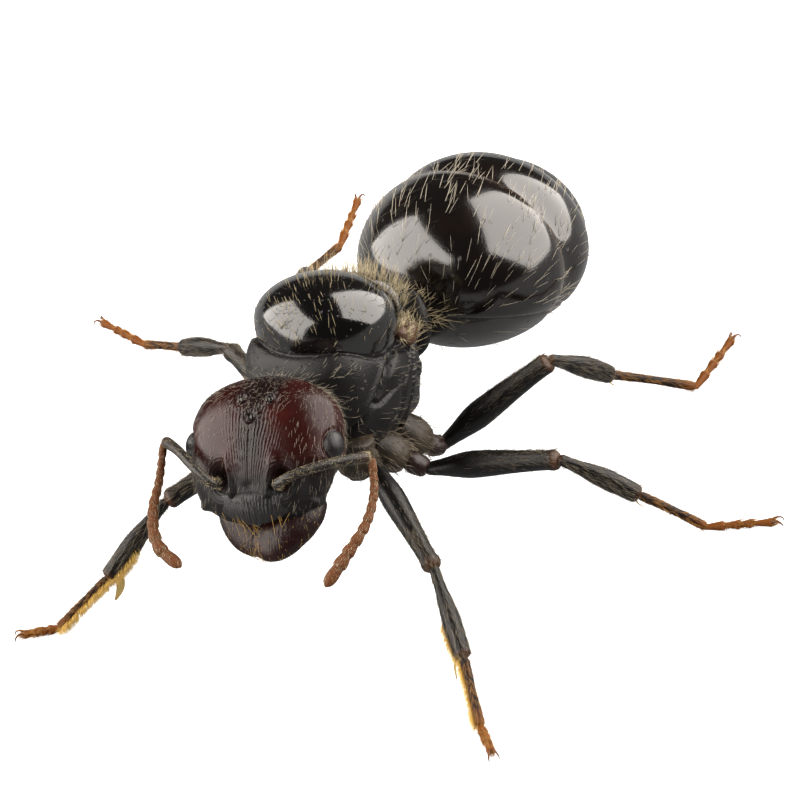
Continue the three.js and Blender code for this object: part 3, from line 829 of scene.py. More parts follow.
def finishes():
    """Every finish of the ant by name."""
    look = bpy.context.scene.ant_look
    if made_finishes:
        return made_finishes
    make_groups()
    black, brown = tuple(look.shell_black), tuple(look.shell_brown)
    red, mouth = tuple(look.head_red), (0.0022, 0.0018, 0.0018)
    foot, lash = tuple(look.foot_orange), tuple(look.lash_orange)
    lighter = lambda colour, times: tuple(min(1, times * part) for part in colour)
    # The belly plates' light grey is a painted reflection of the white floor on the black underside.
    belly, pale_belly_sheen = (0.028, 0.0262, 0.0255), (0.04, 0.0375, 0.036)
    side, pale_side = (0.005, 0.0047, 0.0047), (0.007, 0.0066, 0.0064)
    neck, pale_neck = (0.004, 0.0038, 0.0038), (0.0055, 0.005, 0.005)
    ribs, pale_ribs = (0.0035, 0.0033, 0.0033), (0.005, 0.0045, 0.0042)
    lip, pale_lip = (0.0022, 0.002, 0.002), (0.0035, 0.003, 0.003)
    glossy = {"pits": 2.4, "coat": 1.0, "edge": (0.06, 0.034, 0.018)}
    duller = {"pits": 1.6, "coat": 1.0, "edge": (0.03, 0.016, 0.008)}
    knee, ankle = (0.07, 0.027, 0.01), (0.07, 0.025, 0.008)
    built = [
        shell_finish("scutum_shell", black, brown, 0.13, 22.0, 0.002, pits=6.2, coat=0.9),
        shell_finish("abdomen_shell", brown, (0.006, 0.0032, 0.0022), 0.15, 26.0, 0.002, **glossy),
        # Belly plates: lighter grey that paints the floor's reflection.
        shell_finish("belly_sheen_shell", belly, pale_belly_sheen, 0.3, 26.0, 0.002, **duller),
        shell_finish("side_shell", side, pale_side, 0.4, 24.0, 0.006, pits=3.0),
        shell_finish("collar_shell", neck, pale_neck, 0.42, 30.0, 0.008, pits=5.0),
        shell_finish("waist_shell", (0.0035, 0.003, 0.003), (0.005, 0.0045, 0.004), 0.4, 24.0, 0.008),
        shell_finish("coxa_shell", (0.018, 0.0135, 0.009), (0.045, 0.033, 0.021), 0.42, 20.0, 0.006),
        shell_finish("stub_shell", (0.07, 0.033, 0.024), (0.12, 0.07, 0.035), 0.45, 12.0, 0.01),
        striated_finish("ribbed_shell", ribs, pale_ribs, 0.4, 7.0, 0.02, (0, math.radians(90), 0)),
        striated_finish("shield_shell", lip, pale_lip, 0.48, 13.0, 0.014, (0, 0, 0)),
        head_finish(red, mouth),
        jaw_finish(lighter(red, 0.9), mouth),
        eye_finish(),
        limb_finish("ocellus", (0.006, 0.004, 0.004), (0.006, 0.004, 0.004), 0.12, (0.0, 1.0)),
        limb_finish("trochanter_shell", (0.016, 0.0062, 0.0045), (0.035, 0.014, 0.008), 0.38, (0.1, 0.8)),
        limb_finish("spur_shell", (0.55, 0.4, 0.14), (0.35, 0.18, 0.04), 0.4, (0.35, 0.8)),
        limb_finish("scape_shell", (0.007, 0.005, 0.0038), (0.03, 0.013, 0.006), 0.42, (0.1, 0.85)),
        limb_finish("lash_shell", lash, lighter(lash, 1.3), 0.55, (0.02, 0.9), 1.3),
        limb_finish("femur_shell", (0.0026, 0.0023, 0.0023), knee, 0.36, (0.04, 0.93), 1.42),
        limb_finish("tibia_shell", (0.0028, 0.0022, 0.002), ankle, 0.36, (0.06, 0.9), 1.38),
        limb_finish("basitarsus_shell", (0.009, 0.004, 0.0022), foot, 0.5, (0.05, 0.7), 1.32),
        limb_finish("foot_shell", foot, lighter(foot, 1.35), 0.5, (0.1, 0.9), 1.28),
        limb_finish("claw_shell", lighter(foot, 0.8), (0.006, 0.003, 0.0025), 0.3, (0.0, 0.6)),
        hair_finish("golden_hair", lighter(look.hair_gold, 0.7), look.hair_gold),
        hair_finish("cream_hair", (0.36, 0.32, 0.25), (0.6, 0.54, 0.42)),
        hair_finish("pale_hair", (0.18, 0.155, 0.115), (0.42, 0.37, 0.28)),
        hair_finish("leg_hair", (0.1, 0.08, 0.056), (0.32, 0.27, 0.19)),
        hair_finish("russet_hair", (0.24, 0.08, 0.01), (0.44, 0.22, 0.04)),
        hair_finish("amber_hair", (0.62, 0.36, 0.05), (0.95, 0.68, 0.2)),
        hair_finish("beard_hair", (0.3, 0.17, 0.03), (0.5, 0.36, 0.13)),
    ]
    made_finishes.update({material.name: material for material in built})
    return made_finishes


# ---------------------------------------------------------------- trunk and waist
def outside_egg(points, spec):
    """1 on an egg's surface, more outside it."""
    offset = (points - np.array(spec["centre"])) @ tilt_of(spec) / np.array(spec["half"])
    offset[:, 2] *= np.where(offset[:, 2] < 0, spec["half"][2] / spec.get("under", spec["half"][2]), 1)
    return np.linalg.norm(offset, axis=1)


def plate_rims(points):
    """Grooves where the trunk's plates meet one another and the two domes on top."""
    collar = beyond(points, COLLAR_GROOVE)
    waist = beyond(points, WAIST_GROOVE)
    dome = np.minimum(outside_egg(points, SCUTUM), outside_egg(points, SCUTELLUM))
    high = step_up(points[:, 2], 2.2, 2.6)
    return (
        -0.14 * bell(collar, 0, 0.08)
        + 0.06 * bell(collar, -0.17, 0.07)
        - 0.08 * bell(waist, 0, 0.06)
        - 0.07 * bell(dome, 1.03, 0.03) * high
    )


PLEURA_LINE = [(0.5, 1.9), (0.42, 1.82), (-0.22, 1.7), (-0.72, 1.51), (-1.25, 1.62)]
HIND_LINE = [(0.85, 2.4), (0.66, 1.9), (0.46, 1.68), (0.39, 1.26), (0.19, 0.5), (0.15, 0.0)]
UPPER_LINE = [(0.85, 2.4), (0.13, 2.6), (-0.55, 2.36), (-0.98, 2.12), (-1.24, 1.9)]


def flank(points):
    """The mesothorax's side plates: swollen, and parted by pitted and ribbed grooves."""
    x, y, z = points.T
    aside = step_up(np.abs(x), 0.5, 0.8)
    seam, run = from_line(y, z, PLEURA_LINE)
    hind, hind_run = from_line(y, z, HIND_LINE)
    upper, _ = from_line(y, z, UPPER_LINE)
    pits = 0.5 + 0.5 * np.cos(math.tau * run / 0.12)
    ribs = 0.5 + 0.5 * np.cos(math.tau * hind_run / 0.12)
    lower = 0.16 * bell(y, -0.35, 0.6) * bell(z, 0.95, 0.5)
    over = 0.13 * bell(y, -0.15, 0.7) * bell(z, 2.12, 0.3)
    grooves = (
        -bell(seam, 0, 0.05) * (0.07 + 0.05 * pits)
        - bell(hind, 0, 0.1) * (0.07 + 0.045 * ribs)
        - 0.09 * bell(upper, 0, 0.07)
    )
    return aside * (lower + over + grooves) + plate_rims(points)


def rear(points):
    """The propodeum: a ridge at each rear corner, a breathing hole and a swelling below it."""
    x, y, z = points.T
    a = np.abs(x)
    corner = 0.09 * bell(a, 0.75, 0.16) * bell(y, 1.6, 0.3) * bell(z, 2.75, 0.35)
    hole = np.hypot(y - 1.45, z - 1.75)
    side = step_up(a, 0.6, 0.9)
    spiracle = side * (0.05 * bell(hole, 0.13, 0.05) - 0.06 * bell(hole, 0, 0.07))
    gland = 0.1 * side * bell(y, 1.75, 0.3) * bell(z, 0.75, 0.3)
    return corner + spiracle + gland + plate_rims(points)


def collar(points):
    """The pronotum: a rounded collar with a hollow above the front hips and a neck rim."""
    x, y, z = points.T
    hollow = -0.07 * bell(y, -1.75, 0.35) * bell(z, 0.75, 0.3) * step_up(np.abs(x), 0.4, 0.8)
    shoulder = 0.05 * bell(np.abs(x), 1.15, 0.35) * bell(y, -1.75, 0.35) * bell(z, 2.35, 0.4)
    neck = -0.06 * bell(y, -2.3, 0.08)
    return hollow + shoulder + neck + plate_rims(points)


def trunk_plate(node, relief, cuts, finish):
    """One ring of the trunk: the whole hull, embossed and cut off at its grooves."""
    shape = lambda sphere: hull(sphere, TRUNK)
    make_piece(
        round_ball(7), shape, node + "_plate", TRUNK_FRAME, finish, (node,),
        relief, cuts,
    )


def scutum_relief(points):
    """Faint lines along the back of the wing-muscle dome."""
    x, y, z = points.T
    a = np.abs(x)
    side_lines = -0.01 * bell(a, 1.2 - 0.12 * y, 0.06) * step_up(y, -0.2, 0.1) * step_up(y, 0.9, 0.7)
    rim = -0.05 * bell(z, SCUTUM["floor"], 0.12)
    return side_lines + rim


def build_trunk():
    """The trunk's three rings, the two domes on top, the wing stubs and the scales ahead of them."""
    collar_cut, waist_cut = groove_plane(COLLAR_GROOVE), groove_plane(WAIST_GROOVE)
    flip = lambda cut: (cut[0], -cut[1])
    trunk_plate("pronotum", collar, [collar_cut], "collar_shell")
    trunk_plate("mesothorax", flank, [flip(collar_cut), waist_cut], "side_shell")
    trunk_plate("propodeum", rear, [flip(waist_cut)], "ribbed_shell")

    for node, spec, fineness, relief in (
        ("scutum", SCUTUM, 7, scutum_relief),
        ("scutellum", SCUTELLUM, 6, lambda p: -0.05 * bell(p[:, 2], SCUTELLUM["floor"], 0.15)),
    ):
        underside = (Vector((0, 0, spec["floor"])), Vector((0, 0, -1)))
        make_piece(
            round_ball(fineness), egg(spec), node + "_plate", TRUNK_FRAME, "scutum_shell",
            (node,), relief, [underside],
        )

    lumps = lambda p: 0.03 * np.sin(9 * p[:, 1]) * np.sin(11 * p[:, 2])
    for word, side in SIDES:
        for name, spec in (("wing_stub_", WING_STUB), ("tegula_", TEGULA)):
            shape = egg(on_side(spec, side))
            make_piece(
                ball(40, 30), shape, name + word, TRUNK_FRAME, "stub_shell",
                relief=lumps,
            )


def build_waist():
    """Petiole with its upright crest, postpetiole, and the short stalks that join them up."""

    def crest(sphere):
        centre, half = np.array(PETIOLE["centre"]), np.array(PETIOLE["half"])
        thin = 1 - 0.35 * np.maximum(0, sphere[:, 2])
        return centre + half * sphere * np.stack([np.ones(len(sphere)), thin, np.ones(len(sphere))], 1)

    lumps = lambda p: 0.015 * np.sin(7 * p[:, 0] + 3 * p[:, 1]) * np.sin(9 * p[:, 2])
    for node, shape in (("petiole", crest), ("postpetiole", egg(POSTPETIOLE))):
        make_piece(
            ball(96, 72), shape, node + "_knot", TRUNK_FRAME, "waist_shell", (node,),
            lumps,
        )
    for name, (path, thick) in WAIST_STALKS.items():
        shape = vine(path, even(thick), even(0.8 * thick), 0.1)
        make_piece(ball(40, 40), shape, name, TRUNK_FRAME, "waist_shell")


# ---------------------------------------------------------------- gaster
def gaster_shape(tuck):
    """The gaster's egg, blunt ahead and full at the shoulders; tuck draws it in all around."""
    wide, long, high = GASTER["half"]

    def shape(sphere):
        ring = np.maximum(np.hypot(sphere[:, 0], sphere[:, 2]), 0.001)
        ahead = sphere[:, 1] < 0
        girth = np.where(ahead, ring ** -GASTER["shoulder"], 1)
        reach = np.where(ahead, GASTER["blunt"], long)
        x = (wide - tuck) * sphere[:, 0] * girth
        z = (high - tuck) * sphere[:, 2] * girth
        return np.stack([x, reach * sphere[:, 1], z], 1)

    return shape


def build_gaster():
    """Four upper plates, each tucked under the one ahead of it, and two belly plates."""
    edges = [-GASTER["blunt"], *GASTER["rings"], GASTER["half"][1]]
    level, slope = GASTER["seam"]
    seam_normal = Vector((0, -slope, 1)).normalized()
    for i in range(4):
        rear_edge = edges[i + 1] if i < 3 else math.inf
        front_edge = edges[i] if i else -math.inf

        def swell(points):
            """Each plate turns in at its rear edge and rises from under the plate ahead."""
            behind = np.maximum(0, rear_edge - points[:, 1])
            ahead = np.maximum(0, points[:, 1] - front_edge)
            low = 0.03 * np.exp(-behind / 0.03) + 0.07 * np.exp(-((behind / 0.25) ** 2))
            rise = 0.18 * np.exp(-((ahead / 0.5) ** 2))
            to_seam = np.abs(points[:, 2] - level - slope * points[:, 1])
            side = 0.05 * np.exp(-to_seam / 0.05) if i < 2 else 0
            return -low - rise - side

        for kind in ("tergite", "sternite") if i < 2 else ("tergite",):
            cuts = []
            if i:
                cuts.append((Vector((0, edges[i] - PLATE_OVERLAP, 0)), Vector((0, -1, 0))))
            if i < 3:
                cuts.append((Vector((0, rear_edge, 0)), Vector((0, 1, 0))))
            if i < 2:
                down = -1 if kind == "tergite" else 1
                cuts.append((Vector((0, 0, level)), seam_normal * down))
            margin = lambda p, edge=rear_edge: np.exp(-np.maximum(0, edge - p[:, 1]) / 0.09)
            shape = gaster_shape(GASTER["tuck"][i])
            node = f"gaster_{kind}_{i + 1}"
            # The belly plates take the lighter grey of the painted floor reflection.
            finish = "abdomen_shell" if kind == "tergite" else "belly_sheen_shell"
            make_piece(
                round_ball(7), shape, node + "_plate", GASTER_FRAME, finish, (node,),
                swell, cuts, margin,
            )


# ---------------------------------------------------------------- head
def skull_relief(points):
    """Face of the head: hollows for the feelers, lobes, mouth shield, furrow, ocelli and eye rims."""
    x, y, z = points.T
    a = np.abs(x)
    face = step_up(z, 0.1, 0.5)
    (socket_x, socket_y), (half_x, half_y) = SOCKET["centre"], SOCKET["half"]
    hollow = np.hypot((a - socket_x) / half_x, (y - socket_y) / half_y)
    lobe_line = 0.46 + 0.14 * (y + 0.9)
    lobe = bell(a, lobe_line, 0.1) * step_up(y, -1.1, -0.85) * step_up(y, 0.15, -0.4)
    shield = bell(x, 0, 0.7) * step_up(y, -0.75, -1.0) * step_up(y, -1.75, -1.5)
    triangle = bell(x, 0, 0.14) * bell(y, -0.72, 0.1)
    furrow = bell(x, 0, 0.025) * step_up(y, -0.7, -0.5) * step_up(y, 0.8, 0.6)
    relief = (
        -0.4 * np.exp(-(hollow**2))
        + 0.15 * lobe
        + 0.02 * shield
        - 0.05 * triangle
        - 0.02 * furrow
    )
    for ox, oy in OCELLI:
        away = np.hypot(x - ox, y - oy)
        relief += -0.09 * bell(away, 0, 0.1) + 0.02 * bell(away, 0.17, 0.05)
    relief *= face
    eye = np.linalg.norm(
        (np.stack([a, y, z], 1) - np.array(EYE["centre"])) / np.array(EYE["half"]), axis=1
    )
    cheek = -0.17 * step_up(x, 0.9, 1.5) * step_up(y, -0.05, -0.55)
    cheek += 0.04 * bell(x, -1.3, 0.3) * bell(y, -0.55, 0.35)
    corner = 0.12 * bell(a, 1.5, 0.14) * bell(y, -1.2, 0.1)
    front_rim = -0.08 * bell(y, -1.66, 0.07)
    return relief - 0.05 * bell(eye, 1.12, 0.1) + cheek + corner + front_rim


def mouth_shield(sphere):
    """The clypeus: a bent, wrinkled plate whose front edge hangs over the jaws."""
    sx, sy, sz = sphere.T
    spread = np.hypot(sx, sy) / np.maximum((sx**4 + sy**4) ** 0.25, 1e-9)
    x = 1.2 * sx * spread
    front = -1.62 + 0.4 * x**2
    back = -0.72 - 0.12 * x**2
    y = (front + back) / 2 + (back - front) / 2 * sy * spread
    ahead = -0.8 - y
    middle = 1.27 - 0.05 * ahead - 0.38 * ahead**2 - 0.22 * x**2 - 0.1 * x**4
    lobe = 0.06 * bell(x, 0.0, 0.42) - 0.13 * step_up(y, -0.98, -0.74)
    wrinkles = np.sin(41 * x + 3 * np.sin(6 * y)) + 0.8 * np.sin(67 * x + 4 * np.sin(5 * y + 1))
    rough = 0.007 * wrinkles * bell(x, 0, 0.5) * step_up(y, -0.95, -1.3)
    return np.stack([x, y, middle + lobe + (0.1 * sz + rough * (sz > 0))], 1)


def build_head():
    """The capsule, its mouth shield and the neck behind it."""
    shape = lambda sphere: hull(sphere, HEAD)
    make_piece(
        round_ball(7), shape, "head_capsule", HEAD_FRAME, "capsule_shell", ("head",),
        skull_relief,
    )
    shape = vine([(0, 0.4, -0.5), (0, 0.55, -1.2), (0, 0.6, -2.0)], even(0.55), even(0.5), 0.1)
    make_piece(ball(48, 32), shape, "neck", HEAD_FRAME, "waist_shell")
    make_piece(round_ball(6), mouth_shield, "mouth_shield", HEAD_FRAME, "shield_shell")


def face_height(x, y):
    """How far out the plain face stands at a place on it."""
    high, low = along(HEAD["top"], y), along(HEAD["belly"], y)
    middle = low + WIDEST * (high - low)
    start, end = HEAD["width"][0][0], HEAD["width"][-1][0]
    close = np.sqrt(1 - abs((y - start) / (end - start) * 2 - 1) ** END_SQUARENESS)
    across = min(0.999, (abs(x) / (along(HEAD["width"], y) * close)) ** (1 / HEAD["boxy"]))
    return float(middle + (high - middle) * close * math.sqrt(1 - across**2) ** HEAD["boxy"])


def build_eyes():
    """The two compound eyes and the three simple ones between them."""
    for word, side in SIDES:
        shape = egg(on_side(EYE, side))
        name = "eye_facets_" + word
        make_piece(ball(72, 56), shape, name, HEAD_FRAME, "eye_facets", ("eye_" + word,))
    for index, (x, y) in enumerate(OCELLI):
        shape = egg({"centre": (x, y, face_height(x, y) - 0.09), "half": (0.085, 0.085, 0.07)})
        make_piece(ball(28, 20), shape, f"ocellus_{index + 1}", HEAD_FRAME, "ocellus")


def build_jaws():
    """The dark plate that closes the mouth, and the mandibles, the left one over the right."""
    shape = egg({"centre": (0, -1.5, 0.2), "half": (1.0, 0.42, 0.42)})
    make_piece(ball(48, 32), shape, "mouth_plate", HEAD_FRAME, "waist_shell")
    broad = lambda s: along(MANDIBLE["broad"], s)
    thick = lambda s: along(MANDIBLE["thick"], s)
    lumps = lambda p: 0.006 * np.sin(9 * p[:, 0] + 5 * p[:, 1]) * np.sin(7 * p[:, 1])
    for word, side in SIDES:
        above, behind = (0, 0) if side > 0 else MANDIBLE["under"]
        path = [(side * x, y + above, z - behind) for x, y, z in MANDIBLE["path"]]
        shape = vine(path, broad, thick, 0.1, reference=(0.05, 0.1, 1.0))
        share = lambda p: step_up(p[:, 0] * side, 0.05, -0.25)
        node = "mandible_" + word
        make_piece(
            ball(96, 120), shape, node + "_jaw", HEAD_FRAME, "jaw_shell", (node,),
            lumps, share=share,
        )


def beaded(share):
    """Outline of the feeler's beads: narrow where two meet, fullest past the middle of each."""
    ends = np.concatenate([[0], np.cumsum(BEADS)]) / sum(BEADS)
    i = np.clip(np.searchsorted(ends, share, side="right") - 1, 0, len(BEADS) - 1)
    t = (share - ends[i]) / (ends[i + 1] - ends[i])
    widening = 0.8 + 0.2 * step_up(t, 0.0, 0.6)
    return widening - 0.24 * step_up(t, 0.82, 1.0)


def build_feelers():
    """A scape and a beaded lash on each side."""
    rod = lambda s: along(SCAPE_RADIUS, s)
    beads = lambda s: along(LASH_RADIUS, s) * beaded(s)
    for word, _ in SIDES:
        for part, facets, girth, cap, skin, slot in (
            ("scape", (36, 90), rod, 0.03, "_shaft", "scape"),
            ("lash", (32, 260), beads, 0.02, "_beads", "antenna"),
        ):
            path = FEELER[word][part]
            start, stretch = np.array(path[0]), math.dist(path[0], path[-1])
            share = lambda p: np.linalg.norm(p - start, axis=1) / stretch
            node = f"antenna_{part}_{word}"
            make_piece(
                ball(*facets), vine(path, girth, girth, cap), node + skin, HEAD_FRAME,
                part + "_shell", (node,), share=share,
            )


# ---------------------------------------------------------------- legs and feet
def bearing(angles, side):
    """Unit vector of a bearing on the ant's left (1) or right (-1)."""
    back, up = (math.radians(angle) for angle in angles)
    return Vector((side * math.cos(up) * math.cos(back), math.cos(up) * math.sin(back), math.sin(up)))


def aim(start, direction):
    """Frame with +Y along the direction and +Z as near to straight up as it goes."""
    across = direction.cross(Vector((0, 0, 1))).normalized()
    deep = across.cross(direction)
    basis = Matrix((across, direction, deep)).transposed().to_4x4()
    return Matrix.Translation(start) @ basis


def joints_of(place):
    """The leg's segments from the body to the foot's end, as (start, direction, length)."""
    pair, word = place.split("_")
    side = dict(SIDES)[word]
    stance, size = STANCE[place], LEG[pair]
    top, knuckle = (Vector(p) for p in stance["coxa"])
    hip = Vector(stance["hip"])
    knee = hip + bearing(stance["femur"], side) * size["femur"]
    ankle = knee + bearing(stance["tibia"], side) * size["tibia"]
    drop = math.degrees(math.asin((ankle.z - FOOT_HEIGHT) / size["basitarsus"]))
    heel = ankle + bearing((stance["basitarsus"], -drop), side) * size["basitarsus"]
    toe = heel + bearing((stance["tarsus"], 0), side) * size["tarsus"]
    points = {
        "coxa": (top, knuckle), "trochanter": (knuckle, hip), "femur": (hip, knee),
        "tibia": (knee, ankle), "basitarsus": (ankle, heel), "tarsus": (heel, toe),
    }
    measure = lambda start, end: (start, (end - start).normalized(), (end - start).length)
    return {part: measure(*ends) for part, ends in points.items()}


def knee_lobes(length):
    """Hollow on the femur's tip where the tibia folds in, with a lobe on each side."""

    def relief(points):
        x, y = points.T[:2]
        return 0.035 * bell(y, 0.95 * length, 0.14) * bell(np.abs(x), 0.22, 0.08)

    return relief


def build_legs():
    """Hips, thighs, shins and the long first joints of the feet."""
    parts = {  # segment: finish, slot, length inside the last one, bow, fineness
        "coxa": ("coxa_shell", "satin_shell", 0.12, 0.0, (72, 60)),
        "trochanter": ("trochanter_shell", "foot", 0.1, 0.0, (48, 40)),
        "femur": ("femur_shell", "leg_shell", 0.12, 0.05, (64, 150)),
        "tibia": ("tibia_shell", "leg_shell", 0.1, 0.03, (56, 120)),
        "basitarsus": ("basitarsus_shell", "foot", 0.05, 0.02, (32, 90)),
    }
    for place in STANCE:
        joints = joints_of(place)
        for part, (finish, slot, socket, bow, facets) in parts.items():
            start, direction, length = joints[part]
            whole = length + socket
            node = f"leg_{place}_{part}"
            spot = aim(start - direction * socket, direction)
            relief = knee_lobes(whole) if part == "femur" else None
            share = lambda p: np.clip(p[:, 1] / whole, 0, 1)
            make_piece(
                ball(*facets), limb(whole, SEGMENT[part], bow), node + "_shell", spot, finish,
                (node,), relief, share=share,
            )


def build_tarsus(place, spot, length):
    """The last four joints of a foot."""
    reach = length + TARSUS_SOCKET
    ends = np.concatenate([[0], np.cumsum(TARSOMERES)]) / sum(TARSOMERES) * reach - TARSUS_SOCKET

    def radius(s):
        y = s * reach - TARSUS_SOCKET
        i = np.clip(np.searchsorted(ends, y, side="right") - 1, 0, 3)
        t = np.clip((y - ends[i]) / (ends[i + 1] - ends[i]), 0, 1)
        return np.array(TARSOMERE_RADIUS)[i] * (0.5 + 0.5 * t - 0.45 * step_up(t, 0.88, 1.0))

    shape = vine([(0, -TARSUS_SOCKET, 0), (0, 0.5 * length, 0.0), (0, length, -0.01)], radius, radius, 0.02)
    share = lambda p: np.clip(p[:, 1] / length, 0, 1)
    node = f"leg_{place}_tarsus"
    make_piece(ball(28, 180), shape, node + "_joints", spot, "foot_shell", (node,), share=share)


def build_claws(place, spot, length):
    """The foot's two claws, whose tips come down to the floor."""
    tip = length + CLAW_TIP
    upward = (spot.to_3x3() @ Vector((0, 0, 1))).z
    low = max((CLAW_CLEARANCE - (spot @ Vector((0, tip, 0))).z) / upward, -0.2)
    taper = lambda s: 0.04 - 0.03 * s
    share = lambda p: np.clip((p[:, 1] - length) / 0.3, 0, 1)
    for word, side in (("a", 1), ("b", -1)):
        hook = [
            (side * 0.03, length - 0.06, 0.03),
            (side * 0.08, length + 0.12, 0.08),
            (side * 0.12, length + 0.22, low * 0.3 + 0.03),
            (side * 0.12, tip, low),
        ]
        shape = vine(hook, taper, taper, 0.06)
        make_piece(ball(16, 28), shape, f"claw_{place}_{word}", spot, "claw_shell", share=share)


def build_spur(place, spot, length):
    """The comb of a front shin, or the spur of another one."""
    inward = 1 if place.endswith("left") else -1
    front = place.startswith("front")
    path = [(inward * x, length + y, z) for x, y, z in (FRONT_COMB if front else SPUR)]
    if front:
        broad = lambda s: 0.02 + 0.09 * np.sin(math.pi * s**0.8)
    else:
        broad = lambda s: 0.03 - 0.02 * s
    shape = vine(path, broad, lambda s: 0.025 - 0.012 * s, 0.06, reference=(1.0, 0.1, -0.3))
    share = lambda p: np.clip((p[:, 1] - length + 0.3) / 0.62, 0, 1)
    make_piece(ball(20, 36), shape, f"spur_{place}", spot, "spur_shell", share=share)


def build_feet():
    """The last four joints of each foot, its two claws, and the comb or spur on each shin."""
    for place in STANCE:
        joints = joints_of(place)
        start, direction, length = joints["tarsus"]
        build_tarsus(place, aim(start, direction), length)
        build_claws(place, aim(start, direction), length)
        start, direction, length = joints["tibia"]
        build_spur(place, aim(start, direction), length)


# ---------------------------------------------------------------- hairs
def strand_template():
    """One thin three-sided spike along +Z, root at 0 and tip at 1, cut across in three places."""
    bm = bmesh.new()
    upright = Matrix.Translation((0, 0, 0.5))
    bmesh.ops.create_cone(
        bm, cap_ends=True, segments=3, radius1=1, radius2=0.15, depth=1, matrix=upright
    )
    tall = [e for e in bm.edges if abs(e.verts[0].co.z - e.verts[1].co.z) > 0.5]
    bmesh.ops.subdivide_edges(bm, edges=tall, cuts=2)
    bmesh.ops.triangulate(bm, faces=bm.faces)
    bm.verts.index_update()
    points = points_of(bm)
    faces = np.array([[v.index for v in f.verts] for f in bm.faces])
    bm.free()
    return points, faces


def skin_of(name):
    """A laid piece's triangles as corners in millimetres, with local and unit-ball places."""
    mesh = bpy.data.objects[name].data
    mesh.calc_loop_triangles()
    corners = np.empty(len(mesh.loop_triangles) * 3, np.int32)
    mesh.loop_triangles.foreach_get("vertices", corners)
    corners = corners.reshape(-1, 3)
    at = np.empty(len(mesh.vertices) * 3)
    mesh.vertices.foreach_get("co", at)
    found = {"row": at.reshape(-1, 3) / MM}
    for label in ("local", "unit"):
        values = np.empty(len(mesh.vertices) * 3)
        mesh.attributes[label].data.foreach_get("vector", values)
        found[label] = values.reshape(-1, 3)
    return corners, found


def grow(comb, name, number, length, lift, lean, girth, where, cell, curl=0.3, ragged=0.2, upright=False):
    """Strands rooted on a piece. lean is a direction in the row's frame; where weighs the places.

    lift is 1 for hairs that stand and 0 for hairs that lie along lean; upright hairs keep lean's
    own direction, whatever the skin's. girth is a share of the panel's hair thickness, and cell is
    (column, row, cells a side) in the hair map. No tip passes the ceiling or the floor.
    """
    rng = comb["rng"]
    number = max(1, int(number * comb["share"]))
    corners, found = skin_of(name)
    a, b, c = (found["row"][corners[:, k]] for k in range(3))
    across = np.cross(b - a, c - a)
    area = np.linalg.norm(across, axis=1)
    weight = area * where(found["local"][corners].mean(axis=1))
    pick = rng.choice(len(area), number, p=weight / weight.sum())
    u, v = rng.random(number), rng.random(number)
    over = u + v > 1
    u, v = np.where(over, 1 - u, u), np.where(over, 1 - v, v)
    mixed = lambda label: (
        found[label][corners[pick, 0]] * (1 - u - v)[:, None]
        + found[label][corners[pick, 1]] * u[:, None]
        + found[label][corners[pick, 2]] * v[:, None]
    )
    root, ball_place = mixed("row"), unit(mixed("unit"))
    normal = unit(across[pick])
    lean = np.broadcast_to(np.array(lean, float), normal.shape)
    flat = lean - normal * (lean * normal).sum(axis=1, keepdims=True)
    flat = lean if upright else unit(flat + 1e-4)
    noise = rng.normal(0, ragged, normal.shape)
    raised = np.clip(rng.normal(lift, 0.08, number), 0.08, 1)[:, None]
    ahead = unit(normal * raised + flat * (1 - raised) + noise)
    sunk = LEAST_RISE - (ahead * normal).sum(axis=1, keepdims=True)
    ahead = unit(ahead + normal * np.maximum(0, sunk))
    size = rng.uniform(length[0], length[1], number)
    room = np.maximum(0.1, HAIR_CEILING - root[:, 2])
    size = np.minimum(size, room / np.maximum(0.05, ahead[:, 2]))
    depth = np.maximum(0.01, root[:, 2] - 0.02)
    size = np.minimum(size, depth / np.maximum(0.01, -(ahead + flat * curl)[:, 2]))
    lon = np.arctan2(ball_place[:, 0], ball_place[:, 2]) / math.tau + 0.5
    lat = np.arccos(np.clip(ball_place[:, 1], -1, 1)) / math.pi
    column, row, columns = cell
    inset = lambda share: CELL_EDGE + (1 - 2 * CELL_EDGE) * share
    place = np.stack([(column + inset(lon)) / columns, (row + inset(lat)) / columns], 1)
    width = comb["radius"] * girth * rng.uniform(0.8, 1.2, number)
    return root, ahead, flat * curl, size, width, place


def comb_out(name, strands, finish):
    """Joins strands into one mesh piece with its share attribute and its OFBake map."""
    template, faces = strand_template()
    root, ahead, bend, size, width, place = (np.concatenate(part) for part in zip(*strands))
    side = unit(np.cross(ahead, (0.31, 0.11, 0.94)))
    lift = np.cross(ahead, side)
    t = template[:, 2]
    spread = 1 - 0.85 * t**2
    radial = np.hypot(template[:, 0], template[:, 1])
    angle = np.arctan2(template[:, 1], template[:, 0])
    line = (
        root[:, None]
        + ahead[:, None] * (size[:, None] * (t - 0.06))[..., None]
        + bend[:, None] * (size[:, None] * t**2)[..., None]
    )
    ring = side[:, None] * np.cos(angle)[:, None] + lift[:, None] * np.sin(angle)[:, None]
    points = line + ring * (width[:, None] * spread * np.where(radial > 0.01, 1, 0))[..., None]
    count = len(root)
    all_faces = (faces[None] + np.arange(count)[:, None, None] * len(template)).reshape(-1, 3)
    mesh = bpy.data.meshes.new(name)
    mesh.from_pydata((points.reshape(-1, 3) * MM).tolist(), [], all_faces.tolist())
    mesh.attributes.new("share", "FLOAT", "POINT").data.foreach_set("value", np.tile(t, count))
    patch = np.stack([angle / math.tau, t - 0.5], 1) * STRAND_PATCH
    uv = (place[:, None] + patch[None]).reshape(-1, 2)
    layer = mesh.uv_layers.new(name="OFBake")
    layer.data.foreach_set("uv", uv[all_faces.ravel()].ravel())
    mesh.polygons.foreach_set("use_smooth", np.ones(len(all_faces), bool))
    mesh.update()
    piece = bpy.data.objects.new(name, mesh)
    bpy.context.scene.collection.objects.link(piece)
    mesh.materials.append(finishes()[finish])
    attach(piece, "root")


def everywhere(points):
    """Weighs all the places alike."""
    return np.ones(len(points))


